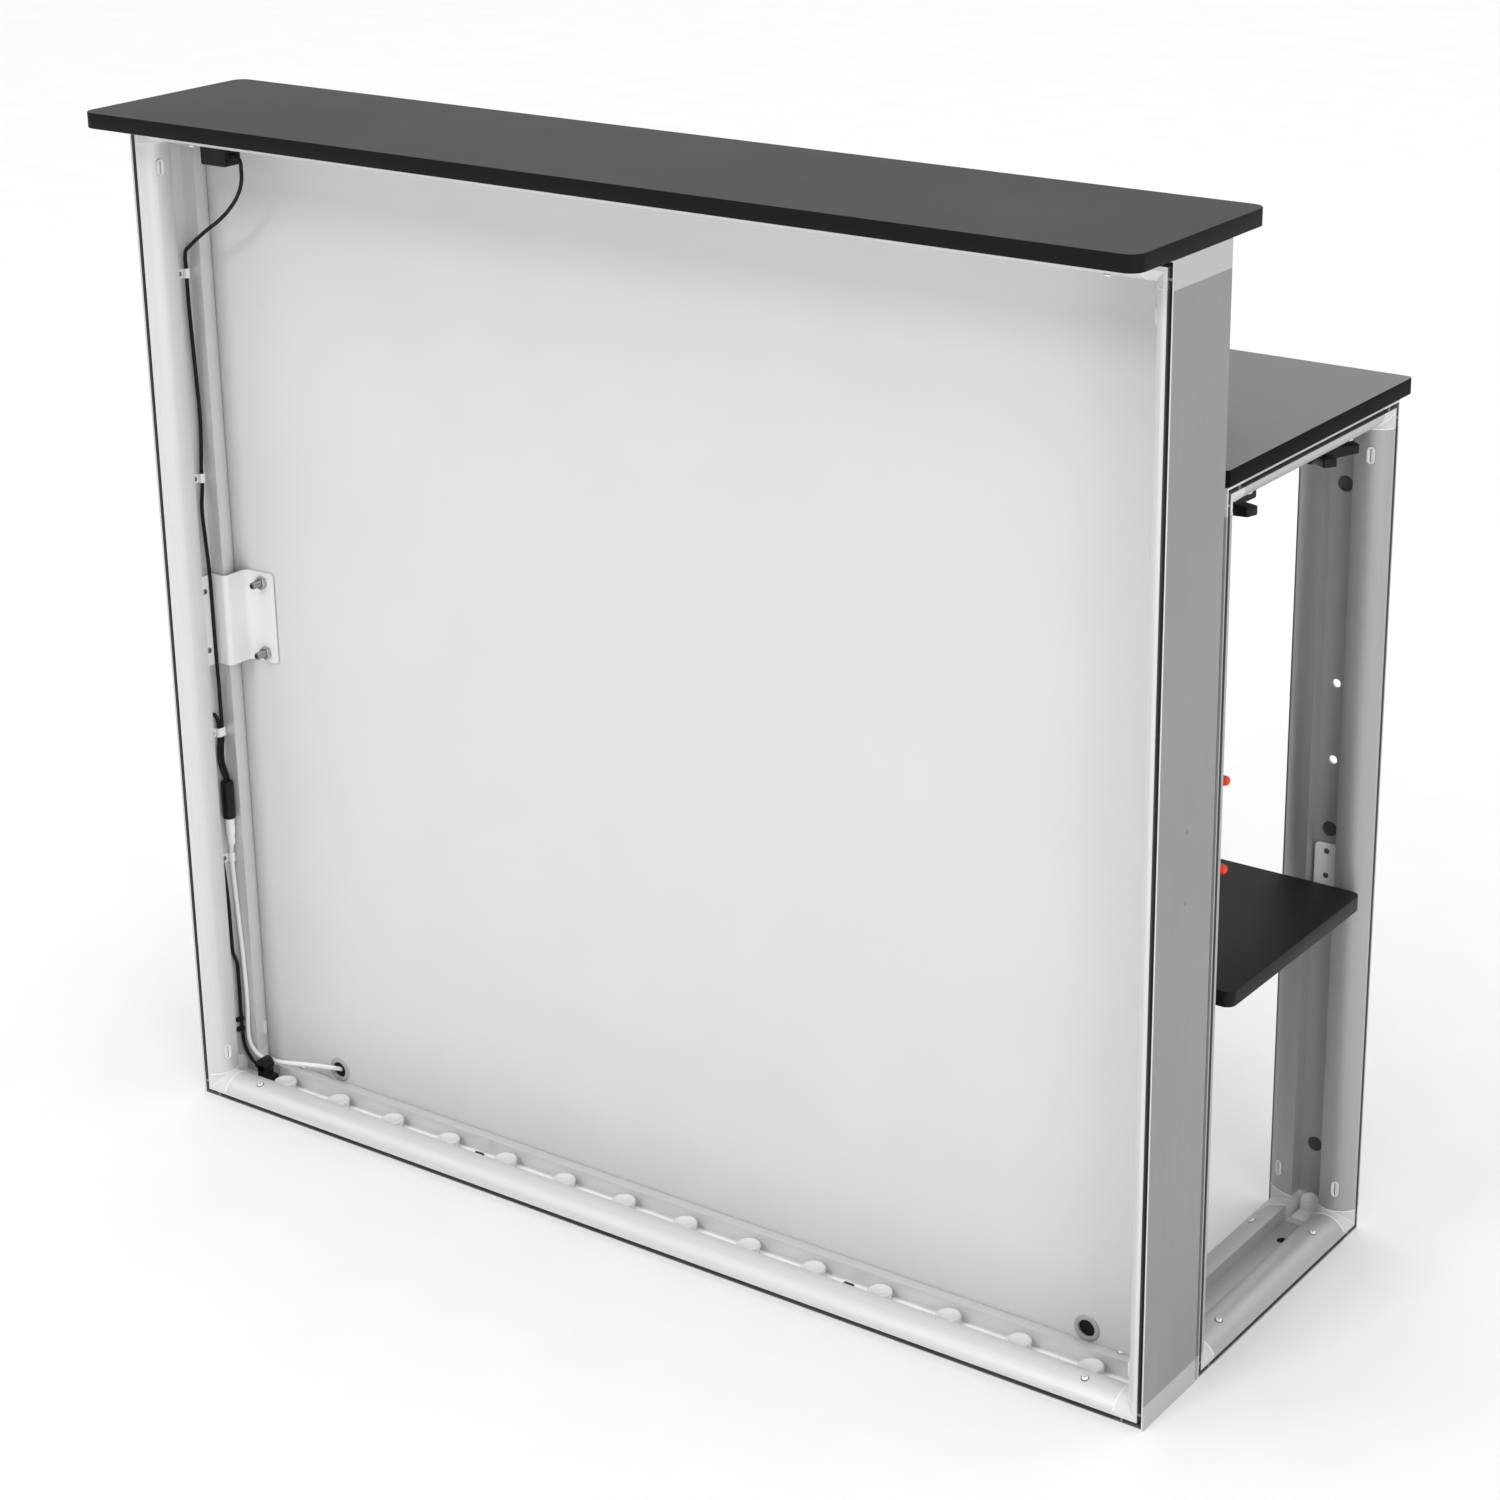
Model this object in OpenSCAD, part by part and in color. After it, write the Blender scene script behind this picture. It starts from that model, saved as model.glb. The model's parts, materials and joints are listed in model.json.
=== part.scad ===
/* [Light frame] */
// Width of the counter, ledge and light frame
counter_w = 1200; // [900:10:1800]
// Height of the light frame, up to the underside of the ledge
frame_h = 1100; // [1000:10:1300]

/* [Side frames] */
// Depth of each side frame, front upright to rear upright
side_d = 342; // [300:2:500]
// Height of the side frames, up to the underside of the worktop
side_h = 880; // [800:10:950]
// Gap between the light frame and the side frames, filled by the spacer pads
frame_gap = 5; // [3:0.5:12]

/* [Extruded profile] */
// Depth of the profile, show face to back face
profile_d = 100; // [96:1:120]
// Thickness of the web, which is the floor of the channel
web_t = 3; // [2.5:0.5:4]
// Thickness of the outer lips
lip_t = 2; // [1.5:0.5:2.5]
// Width of the groove for the fabric edge
groove_w = 4.4; // [3:0.2:5]
// Depth of the groove for the fabric edge
groove_d = 14; // [10:1:16]
// Distance from each face to the channel
ridge_in = 34.5; // [32:0.5:36]
// Height of the flange ridges beside the channel
ridge_h = 20.5; // [18:0.5:22]
// Height of the front flange at the show face
front_foot_h = 10.5; // [10:0.5:12]
// Bulge of the front flange over its straight chord
front_bulge = 8; // [6:0.5:8]
// Height of the rear flange where it meets the panel seat
rear_foot_h = 5.5; // [5:0.5:8]
// Bulge of the rear flange over its straight chord
rear_bulge = 3; // [1:0.5:4]
// Wall thickness of the hollow flanges
flange_t = 2; // [1.6:0.2:2.4]
// Thickness of the back panel, and depth of its seat
panel_t = 3; // [2:0.5:4]

/* [Corner pieces] */
// Length of a corner piece along an upright
corner_up = 25.5; // [25:0.5:34]
// Length of a corner piece along a beam
corner_along = 32; // [28:1:45]
// Width of the corner angle in the channel
angle_w = 24; // [16:1:28]
// Length of each leg of the corner angle
angle_leg = 24; // [20:1:25]
// Thickness of the corner angle
angle_t = 3; // [2:0.5:4]

/* [Boards] */
// Thickness of ledge, worktop and shelf
board_t = 16; // [14:1:25]
// Depth of the ledge
ledge_d = 225; // [180:5:300]
// Corner radius of the ledge
ledge_r = 14; // [4:1:30]
// Rear overhang of the worktop past the side frames
worktop_over = 28; // [0:1:60]
// Corner radius of worktop and shelf
board_r = 6; // [2:1:20]
// Height of the upper face of the shelf
shelf_top = 386; // [320:2:440]
// Set-back of the shelf behind the front upright's web
shelf_set = 39; // [26:1:45]
// Set-back of the shelf before the rear upright's web
shelf_rear_set = 27; // [26:1:45]

/* [Lighting] */
// Pitch of the lenses
led_pitch = 80; // [60:5:120]
// Sideways shift of the light row
led_shift = -4; // [-8:1:8]
// Diameter of a lens
lens_d = 26; // [16:1:28]
// Height of a lens above its board
lens_h = 11.4; // [8:0.2:14]
// Width of a circuit board
pcb_w = 22; // [16:1:26]
// Thickness of a circuit board
pcb_t = 1.6; // [1:0.2:2]

/* [Links and knobs] */
// Distance of the link studs from the floor, middle of the pair
link_z = 547; // [500:1:600]
// Pitch of the link studs
link_pitch = 80; // [80:2:120]
// Diameter of all studs
stud_d = 8; // [6:1:10]
// Height of a link bracket
link_h = 102; // [96:1:140]
// Sheet thickness of the link brackets
link_t = 2.5; // [2:0.5:3]
// Radius of the link knobs over the arms
link_knob_r = 38.5; // [30:0.5:39.5]
// Radius of the worktop knobs over the arms
top_knob_r = 44; // [34:1:46]
// Pitch of the worktop knobs on one side frame
top_knob_pitch = 188; // [120:2:200]

/* [Hidden] */

// Overrun of cuts, flat gap of loose fits and radial gap of close fits
over = 1;
gap = 0.3;
fit = 0.05;
$fn = 64;

// Places in depth, measured from the show face of the light frame
side_y = profile_d + frame_gap;
side_back = side_y + side_d;
worktop_back = side_back + worktop_over;
ledge_front = -(ledge_d - profile_d) / 2;
front_y = -(ledge_front + worktop_back) / 2;
panel_y = profile_d - panel_t;
channel_w = profile_d - 2 * ridge_in;
half_w = counter_w / 2;
side_mid_x = half_w - profile_d / 2;

// Flange arcs: centre and radius from foot, ridge and bulge
function unit(v) = v / norm(v);
function arc_radius(a, b, bulge) = (pow(norm(b - a) / 2, 2) + pow(bulge, 2)) / (2 * bulge);
function arc_centre(a, b, bulge) =
    (a + b) / 2 + [unit(b - a)[1], -unit(b - a)[0]] * (arc_radius(a, b, bulge) - bulge);
front_foot = [0, front_foot_h];
rear_foot = [panel_t, rear_foot_h];
ridge = [ridge_in, ridge_h];
front_c = arc_centre(front_foot, ridge, front_bulge);
front_r = arc_radius(front_foot, ridge, front_bulge);
rear_c = arc_centre(rear_foot, ridge, rear_bulge);
rear_r = arc_radius(rear_foot, ridge, rear_bulge);
flange_top = front_c[1] + front_r;

// Fixings on the flanges
fix_in = 16;
plug_from_end = 51;
plug_w = 9;
plug_l = 18;
plug_proud = 1;
fix_from_end = 71;
fix_d = 5;
fix_head_r = 4;
fix_head_h = 1.6;

// Holes in the webs of the side frame uprights, from the floor
stud_hole_d = stud_d + 1;
hole_d = 16;
hole_heights = [link_z - link_pitch / 2 - hole_d * 4.6, side_h - hole_d * 5.6, hole_d * 5.2];
plug_head_t = 1.2;
plug_head_r = hole_d / 2 + 1;
foot_hole_d = 11;
foot_hole_in = 70;

// Grommets
grommet_in = 116;
grommet_x = half_w - grommet_in;
grommet_z = 20.5;
grommet_r = 14;
grommet_hole_r = 9;
grommet_neck_r = 11;
grommet_flange_t = 1.8;

// Light rows
led_margin = 35;
led_count = floor((counter_w - 2 * led_margin) / led_pitch);
led_first = led_shift - (led_count - 1) / 2 * led_pitch;
leds_per_board = 3;
pcb_gap = 0.6;
lens_rim_share = 0.78;
lens_top_share = 0.86;
lens_dish_share = 0.16;
board_screw_d = 3;
board_screw_head_r = 3;
board_screw_head_h = 1.6;
ledge_screw_d = 5;
ledge_screw_grip = 11;
ledge_screw_head_r = 4.5;
ledge_screw_head_h = 3;

// Link brackets, studs, nuts and pads
link_foot_in = 4;
link_plate_past = 15;
link_plate_x = profile_d / 2 + link_plate_past;
link_rise = 2.8;
bend_steps = 5;
link_heel_bend = 3;
link_knee_bend = 4;
link_plate_bend = 9;
link_screw_pitch = 67;
link_screw_d = 4;
link_screw_head_r = 3.6;
link_screw_head_h = 2;
nut_af = 13;
nut_h = 6.5;
stud_tail = 11;
pad_r = 12;

// Knobs
link_hub_l = 34;
link_hub_r = 9;
link_boss_r = 12;
link_boss_h = 17;
link_boss_edge = 1.5;
link_arm_in = 8.5;
link_arm_r1 = 7.5;
link_arm_r2 = 4.6;
stud_in_knob = 30;
top_hub_l = 31;
top_hub_r = 10;
top_boss_r = 14;
top_arm_t = 14;
top_tip_t = 8;
top_arm_w = 14;
insert_r = 6;
insert_h = 12;
stud_reach = 11;
arm_angles = [0, 90, 180, 270];

// Shelf brackets
bracket_w = 26;
bracket_t = 3;
bracket_up = 33;
bracket_bite = 33;
bracket_r = 6;
bracket_screw_pitch = 26;
bracket_screw_drop = 8;
bracket_screw_d = 4;
bracket_screw_head_r = 3.6;
bracket_screw_head_h = 2;

// Leads: diameters and routes, from the show face of the light frame
thin_d = 4;
supply_d = 5;
upper_route = [
    [-507, 50, 1062], [-502, 50, 1062], [-497.5, 50.5, 1058], [-497, 51, 1050],
    [-499, 52, 1036], [-506, 53, 1022], [-519, 54, 1007], [-537, 55, 992],
    [-557, 56, 979], [-573, 57, 968], [-585, 58, 959], [-592, 58, 953], [-593.5, 58, 947],
    [-593.5, 58, 935], [-593.5, 58, 900], [-593.5, 59, 860], [-593.5, 61, 810],
    [-593.5, 62, 770], [-593.5, 60, 735], [-593.5, 58, 712], [-593.5, 58, 699],
    [-593.5, 55, 675], [-593, 56, 640], [-592, 57.5, 600], [-592, 58, 545],
    [-592, 58.5, 490], [-593, 60, 465], [-593.5, 60.5, 442], [-593.5, 60.5, 424],
    [-593.5, 60.5, 410], [-593.5, 58.5, 398], [-593, 57.5, 384], [-591.5, 59, 371],
    [-590.5, 60.5, 364], [-590.5, 60.5, 360]
];
lower_route = [
    [-589.5, 55.5, 360], [-589.5, 55.5, 364], [-590.5, 53.5, 371], [-592.5, 52, 384],
    [-593.5, 53.5, 398], [-593.5, 55.8, 410], [-593.5, 55.8, 424], [-593.5, 54.5, 432],
    [-593.5, 51.5, 438], [-593.5, 47, 440.5], [-593.5, 42.5, 438], [-593.5, 39.5, 431],
    [-593.5, 38.5, 420], [-593.5, 38, 380], [-593.5, 39, 340], [-593.5, 43, 290],
    [-593.5, 48, 250], [-593.5, 50.5, 206], [-593.5, 51, 170], [-593.5, 51.5, 155],
    [-593.5, 54, 147], [-593.5, 56.5, 140], [-593.5, 57.2, 122], [-593.5, 57.2, 90],
    [-593.5, 57.2, 60], [-592.5, 57, 46], [-590.5, 57, 36], [-587, 57, 29.5],
    [-582, 55.5, 26.5], [-576.5, 53, 25], [-571.5, 51, 24.5], [-567, 50, 24.5]
];
supply_route = [
    [-590.5, 58, 284], [-590.5, 58, 281.5], [-592, 59.3, 277.5], [-593, 60, 273.5],
    [-593, 60, 265], [-592, 60.5, 230], [-591, 61.5, 195], [-589.5, 62, 160],
    [-588, 62, 125], [-587.5, 62, 90], [-588.5, 61.5, 62], [-588, 61, 48],
    [-585, 61, 38], [-577, 61, 30], [-566, 61.5, 26], [-554, 62.5, 26], [-541, 64.5, 27],
    [-527, 68, 28], [-513, 73, 28.5], [-500, 79, 28], [-491, 86, 26], [-486, 93, 23],
    [-484, 99, 20], [-484, 106, 15.5], [-484, 112, 10.5], [-484, 118, 7.8], [-484, 122, 7.5]
];
clip_places = [
    [thin_d, 58, 0, 924], [thin_d, 58, 0, 701.5], [thin_d, 55.8, 4.7, 412], [supply_d, 60, 0, 263]
];
clip_l = 10;
clip_t = 1.2;
clip_foot = 9;
sleeve_r = 7;
sleeve_l = 44;
sleeve_z = 316;
sleeve_y = 58;
plug_r = 5.2;
plug_neck_r = 4.4;
plug_body_l = 19;
plug_neck_l = 13;
coupler_r = 7;
coupler_l = 32;
coupler_y = 122;
box_l = 34;
box_w = 24;
box_h = 43.4;
tie_heights = [56, 68];
tie_l = 4;
tie_y = 57.2;
feed_in = 10;
feed_d = 14;
feed_h = 31;
feed_lobe_r = 8;
feed_stem_w = 12;
feed_foot_l = 13.5;
feed_foot_h = 12;
feed_nose_l = 5;
feed_nose_w = 7;
feed_nose_h = 16.4;

// Moves the part so that its origin lies under the middle of its outline
module place() { translate([0, front_y, 0]) children(); }

// Profile section: X is the height above the outer wall, Y the depth from the show face
module arc_region(centre, radius, from_u, to_u, base_v) {
    intersection() {
        translate([base_v, from_u]) square([flange_top, to_u - from_u]);
        translate([centre[1], centre[0]]) circle(r = radius, $fn = 128);
    }
}

module front_half() {
    root_v = lip_t + groove_w + flange_t;
    difference() {
        union() {
            square([web_t, profile_d / 2]);
            arc_region(front_c, front_r, 0, ridge_in, 0);
        }
        translate([lip_t, -over]) square([groove_w, groove_d + over]);
        arc_region(front_c, front_r - flange_t, flange_t, ridge_in - flange_t, root_v);
        translate([web_t, groove_d + flange_t])
            square([root_v + fit - web_t, ridge_in - groove_d - 2 * flange_t]);
    }
}

module rear_half() {
    difference() {
        union() {
            square([web_t, profile_d / 2]);
            arc_region(rear_c, rear_r, panel_t, ridge_in, 0);
        }
        translate([lip_t, -over]) square([flange_top, panel_t + over]);
        arc_region(rear_c, rear_r - flange_t, panel_t + flange_t, ridge_in - flange_t, web_t);
    }
}

module rail_section() {
    front_half();
    translate([0, profile_d]) mirror([0, 1]) rear_half();
}

// Swaps height and width, so that an upright becomes a beam
module as_beam() { mirror([1, 0, -1]) children(); }

// Moves children, made along +Z, to stand on a flange at fix_in from its face
module on_front_flange() {
    tilt = asin((fix_in - front_c[0]) / front_r);
    translate([front_c[1], front_c[0], 0]) rotate([0, 0, tilt]) translate([front_r, 0, 0])
        rotate([0, 90, 0]) children();
}

module on_rear_flange() {
    tilt = asin((fix_in - rear_c[0]) / rear_r);
    translate([rear_c[1], profile_d - rear_c[0], 0]) rotate([0, 0, -tilt]) translate([rear_r, 0, 0])
        rotate([0, 90, 0]) children();
}

module on_both_flanges() {
    on_front_flange() children();
    on_rear_flange() children();
}

// Blank of a rail that stands up from corner piece to corner piece
module rail_blank(length, skip) {
    translate([0, 0, skip]) linear_extrude(height = length - 2 * skip) rail_section();
}

module at_both_ends(length, from_end) {
    for (z = [from_end, length - from_end]) translate([0, 0, z]) children();
}

module slot_shape(width, length, height) {
    for (s = [-1, 1]) translate([s * (length - width) / 2, 0, 0]) cylinder(d = width, h = height);
    translate([-(length - width) / 2, -width / 2, 0]) cube([length - width, width, height]);
}

module slot_cut() {
    translate([0, 0, -2 * flange_t])
        slot_shape(plug_w + 2 * fit, plug_l + 2 * fit, 2 * flange_t + over);
}

module slot_plug() {
    color("gainsboro") translate([0, 0, -1.2 * flange_t])
        slot_shape(plug_w, plug_l, 1.2 * flange_t + plug_proud);
}

module fix_cut() {
    translate([0, 0, -2 * flange_t]) cylinder(d = fix_d + 2 * fit, h = 2 * flange_t + over);
}

module fix_screw() {
    color("silver") {
        translate([0, 0, -2 * flange_t]) cylinder(d = fix_d, h = 2 * flange_t + 0.5 * fix_head_h);
        translate([0, 0, 0.5 * fix_head_h]) cylinder(r1 = fix_head_r, r2 = fix_d / 2, h = fix_head_h);
    }
}

// Upright of a frame, outer wall at X = 0, show face at Y = 0
module upright(height) {
    difference() {
        rail_blank(height, corner_up);
        at_both_ends(height, plug_from_end) on_both_flanges() slot_cut();
    }
}

// Beam of a frame, outer wall at Z = 0, from X = 0 to its length
module beam(length) {
    as_beam() difference() {
        rail_blank(length, corner_along);
        at_both_ends(length, fix_from_end) on_both_flanges() fix_cut();
    }
}

// Cutter for the half of a corner piece that lies above its mitre
module above_mitre() {
    translate([0, profile_d + over, 0]) rotate([90, 0, 0])
        linear_extrude(height = profile_d + 2 * over)
            polygon([[0, 0], [corner_along, corner_along], [0, corner_along]]);
}

module corner_leg(length) {
    intersection() {
        union() {
            linear_extrude(height = length) rail_section();
            translate([0, 0, length - 2 * flange_t - corner_up / 4])
                cube([lip_t + groove_w + fit, flange_t, flange_t]);
        }
        above_mitre();
    }
}

// Corner piece with its outer corner at the origin
module corner_piece() {
    color("whitesmoke") {
        corner_leg(corner_up);
        as_beam() corner_leg(corner_along);
    }
}

// Angle that lies in the channel of a corner, with a round top
module corner_angle() {
    reach = web_t + angle_leg;
    color("gainsboro") translate([web_t, profile_d / 2, web_t]) {
        translate([0, -angle_w / 2, 0]) cube([angle_leg, angle_w, angle_t]);
        translate([0, -angle_w / 2, 0]) cube([angle_t, angle_w, angle_leg - angle_w / 3]);
        intersection() {
            translate([0, 0, angle_leg - angle_w / 2]) rotate([0, 90, 0])
                cylinder(d = angle_w, h = angle_t);
            translate([0, -angle_w / 2, 0]) cube([angle_t, angle_w, reach]);
        }
    }
}

// Puts children at the four corners of a frame
module at_corners(width, height) {
    for (m = [0, 1]) translate([m * width, 0, 0]) mirror([m, 0, 0]) {
        children();
        translate([0, 0, height]) mirror([0, 0, 1]) children();
    }
}

// Local frames: the light frame and the two side frames, show faces outward
module in_light_frame() { place() translate([-half_w, 0, 0]) children(); }

module in_right_frame() {
    place() translate([half_w, side_y, 0]) rotate([0, 0, 90]) children();
}

module in_left_frame() { mirror([1, 0, 0]) in_right_frame() children(); }

module in_each_frame() {
    in_light_frame() children(0);
    in_right_frame() children(1);
    in_left_frame() children(1);
}

// Far side of a frame of a given width, mirrored from its near side
module far_side(width) { translate([width, 0, 0]) mirror([1, 0, 0]) children(); }

module top_side(height) { translate([0, 0, height]) mirror([0, 0, 1]) children(); }

// Light frame rails
module at_link_screws() {
    for (s = [-1, 1]) translate([0, profile_d / 2, link_z + s * link_screw_pitch / 2])
        rotate([0, 90, 0]) children();
}

module link_screw_holes() {
    at_link_screws() translate([0, 0, -over])
        cylinder(d = link_screw_d + 2 * fit, h = web_t + link_t + 2 * over);
}

module light_upright() {
    color("silver") difference() {
        upright(frame_h);
        link_screw_holes();
    }
}

module front_rail_left() { in_light_frame() light_upright(); }

module front_rail_right() { in_light_frame() far_side(counter_w) light_upright(); }

// Joints between circuit boards, counted from the first lens
function joint_x(i) = led_first + (i * leds_per_board + 0.5) * led_pitch;
joint_count = floor((led_count - 1.5) / leds_per_board) + 1;
joints = [for (i = [0 : joint_count - 1]) joint_x(i)];
first_x = led_first - led_pitch / 2;
last_x = led_first + (led_count - 0.5) * led_pitch;
board_ends = concat([first_x], joints, [last_x]);

module joint_holes(diameter) {
    for (x = joints) translate([half_w + x, profile_d / 2, -over])
        cylinder(d = diameter + 2 * fit, h = web_t + pcb_t + 2 * over);
}

module front_rail_bottom() {
    color("gainsboro") in_light_frame() difference() {
        beam(counter_w);
        joint_holes(board_screw_d);
    }
}

module front_rail_top() {
    color("silver") in_light_frame() top_side(frame_h) difference() {
        beam(counter_w);
        joint_holes(ledge_screw_d);
    }
}

module front_corner_bottom_left() { in_light_frame() corner_piece(); }

module front_corner_bottom_right() { in_light_frame() far_side(counter_w) corner_piece(); }

module front_corner_top_left() { in_light_frame() top_side(frame_h) corner_piece(); }

module front_corner_top_right() {
    in_light_frame() far_side(counter_w) top_side(frame_h) corner_piece();
}

// Back panel in the seat of the light frame
module back_panel() {
    edge = lip_t + gap;
    color("white") place() difference() {
        translate([-half_w + edge, panel_y, edge])
            cube([counter_w - 2 * edge, panel_t, frame_h - 2 * edge]);
        for (m = [0, 1]) mirror([m, 0, 0]) {
            translate([grommet_x, panel_y - over, grommet_z]) rotate([-90, 0, 0])
                cylinder(r = grommet_neck_r + fit, h = panel_t + 2 * over);
            at_studs() translate([0, panel_y - over, 0]) rotate([-90, 0, 0])
                cylinder(d = stud_hole_d, h = panel_t + 2 * over);
        }
    }
}

module at_studs() {
    for (s = [-1, 1]) translate([side_mid_x, 0, link_z + s * link_pitch / 2]) children();
}

// Grommet: a ring that clips round the edge of the panel hole
module grommet() {
    color("silver") translate([grommet_x, panel_y, grommet_z]) rotate([-90, 0, 0]) difference() {
        union() {
            translate([0, 0, -grommet_flange_t])
                cylinder(r1 = grommet_r - grommet_flange_t, r2 = grommet_r, h = grommet_flange_t);
            cylinder(r = grommet_neck_r, h = panel_t);
            translate([0, 0, panel_t])
                cylinder(r1 = grommet_r, r2 = grommet_r - grommet_flange_t, h = grommet_flange_t);
        }
        translate([0, 0, -over - grommet_flange_t])
            cylinder(r = grommet_hole_r, h = panel_t + 2 * (grommet_flange_t + over));
    }
}

module grommet_left() { place() mirror([1, 0, 0]) grommet(); }

module grommet_right() { place() grommet(); }

// Circuit boards on the floor of a channel
module pcb_row(screw_d) {
    color("white") for (i = [0 : len(board_ends) - 2]) difference() {
        translate([half_w + board_ends[i] + pcb_gap / 2, (profile_d - pcb_w) / 2, web_t])
            cube([board_ends[i + 1] - board_ends[i] - pcb_gap, pcb_w, pcb_t]);
        joint_holes(screw_d);
    }
}

// Lens with a bevelled rim and a shallow dish
module lens() {
    radius = lens_d / 2;
    rotate_extrude() polygon([
        [0, 0], [radius, 0], [radius, lens_h * lens_rim_share], [radius * lens_top_share, lens_h],
        [0, lens_h * (1 - lens_dish_share)]
    ]);
}

module lens_row(from_i) {
    color("azure") for (i = [from_i : led_count - 1])
        translate([half_w + led_first + i * led_pitch, profile_d / 2, web_t + pcb_t]) lens();
}

module led_boards_lower() { in_light_frame() pcb_row(board_screw_d); }

module led_lenses_lower() { in_light_frame() lens_row(0); }

module led_boards_upper() { in_light_frame() top_side(frame_h) pcb_row(ledge_screw_d); }

module led_lenses_upper() { in_light_frame() top_side(frame_h) lens_row(1); }

// Screws at the joints of the boards, head on the board
module joint_screw(diameter, depth, head_r, head_h) {
    translate([0, 0, -depth]) cylinder(d = diameter, h = depth + head_h / 2);
    cylinder(r1 = head_r, r2 = head_r * 0.7, h = head_h);
}

module board_screws() {
    color("dimgray") in_light_frame() for (x = joints)
        translate([half_w + x, profile_d / 2, web_t + pcb_t])
            joint_screw(board_screw_d, web_t + pcb_t - fit, board_screw_head_r, board_screw_head_h);
}

module ledge_screws() {
    color("dimgray") in_light_frame() top_side(frame_h) for (x = joints)
        translate([half_w + x, profile_d / 2, web_t + pcb_t])
            joint_screw(ledge_screw_d, web_t + pcb_t + ledge_screw_grip,
                        ledge_screw_head_r, ledge_screw_head_h);
}

// Bent sheet from a centre line of points, with mitred bends
function side_normal(a, b) = [-(b - a)[1], (b - a)[0]] / norm(b - a);
function bend_normal(p, i) =
    i == 0 ? side_normal(p[0], p[1]) :
    i == len(p) - 1 ? side_normal(p[i - 1], p[i]) :
    let (a = side_normal(p[i - 1], p[i]), b = side_normal(p[i], p[i + 1])) (a + b) / (1 + a * b);

module bent_sheet(p, t) {
    polygon(concat(
        [for (i = [0 : len(p) - 1]) p[i] + bend_normal(p, i) * t / 2],
        [for (i = [len(p) - 1 : -1 : 0]) p[i] - bend_normal(p, i) * t / 2]
    ));
}

// Points of a soft bend at a corner, between its two neighbours
function rounded(before, corner, after, reach) =
    let (from = corner + unit(before - corner) * reach, to = corner + unit(after - corner) * reach)
    [for (k = [0 : bend_steps]) let (t = k / bend_steps)
        from * pow(1 - t, 2) + corner * 2 * t * (1 - t) + to * pow(t, 2)];

// Link bracket: foot on the channel floor, over the rear flange, plate on the panel
module link_sheet() {
    foot_v = web_t + link_t / 2;
    ridge_v = ridge_h + link_rise + link_t / 2;
    riser_u = profile_d - ridge_in - gap - link_t / 2;
    plate_u = panel_y - link_t / 2;
    toe = [foot_v, ridge_in + link_foot_in];
    heel = [foot_v, riser_u];
    knee = [ridge_v, riser_u];
    bend = [ridge_v, plate_u];
    tip = [link_plate_x, plate_u];
    bent_sheet(concat(
        [toe], rounded(toe, heel, knee, link_heel_bend), rounded(heel, knee, bend, link_knee_bend),
        rounded(knee, bend, tip, link_plate_bend), [tip]
    ), link_t);
}

module link_bracket() {
    color("white") difference() {
        translate([-half_w, 0, link_z - link_h / 2]) linear_extrude(height = link_h) link_sheet();
        translate([-half_w, 0, 0]) link_screw_holes();
        mirror([1, 0, 0]) at_studs() translate([0, panel_y - 2 * link_t, 0]) rotate([-90, 0, 0])
            cylinder(d = stud_d + 2 * fit, h = 3 * link_t);
    }
}

module link_bracket_left() { place() link_bracket(); }

module link_bracket_right() { place() mirror([1, 0, 0]) link_bracket(); }

module link_bracket_screws() {
    color("dimgray") place() for (m = [0, 1]) mirror([m, 0, 0])
        translate([-half_w, 0, 0]) at_link_screws() translate([0, 0, web_t + link_t])
            joint_screw(link_screw_d, link_t + web_t - fit, link_screw_head_r, link_screw_head_h);
}

// Studs that tie the light frame to the side frames
module at_all_studs() {
    place() for (m = [0, 1]) mirror([m, 0, 0]) at_studs() children();
}

module link_studs() {
    front_end = panel_y - link_t - nut_h - stud_tail;
    back_end = side_y + web_t + stud_in_knob;
    color("dimgray") at_all_studs() translate([0, front_end, 0]) rotate([-90, 0, 0])
        cylinder(d = stud_d, h = back_end - front_end);
}

module link_nuts() {
    color("dimgray") at_all_studs() translate([0, panel_y - link_t - nut_h, 0]) rotate([-90, 0, 0])
        difference() {
            cylinder(d = nut_af / cos(30), h = nut_h, $fn = 6);
            translate([0, 0, -over]) cylinder(d = stud_d + 2 * fit, h = nut_h + 2 * over);
        }
}

module spacer_pads() {
    color("dimgray") at_all_studs() translate([0, profile_d, 0]) rotate([-90, 0, 0]) difference() {
        cylinder(r = pad_r, h = frame_gap);
        translate([0, 0, -over]) cylinder(d = stud_hole_d, h = frame_gap + 2 * over);
    }
}

// Link knob: hub that bears on the upright, boss and four tapered arms with round tips
module link_arm() {
    neck = link_knob_r - link_arm_r2;
    rotate_extrude() {
        polygon([[0, link_arm_in], [link_arm_r1, link_arm_in], [link_arm_r2, neck], [0, neck]]);
        translate([0, neck]) intersection() {
            circle(r = link_arm_r2);
            square(link_arm_r2);
        }
    }
}

module link_knob(turn) {
    boss_top = link_hub_l + link_boss_h;
    color("orangered") rotate([0, 0, turn]) difference() {
        union() {
            rotate_extrude() polygon([
                [0, 0], [link_hub_r, 0], [link_boss_r, link_hub_l],
                [link_boss_r, boss_top - link_boss_edge], [link_boss_r - link_boss_edge, boss_top],
                [0, boss_top]
            ]);
            for (a = arm_angles) rotate([0, 0, a])
                translate([0, 0, link_hub_l + link_boss_h / 2]) rotate([0, 90, 0]) link_arm();
        }
        translate([0, 0, -over]) cylinder(d = stud_d + 2 * fit, h = stud_in_knob + 2 * over);
    }
}

module link_knob_at(side, level, turn) {
    place() mirror([side, 0, 0])
        translate([side_mid_x, side_y + web_t + gap, link_z + level * link_pitch / 2])
            rotate([-90, 0, 0]) link_knob(turn);
}

module link_knob_right_upper() { link_knob_at(0, 1, -8); }

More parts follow.
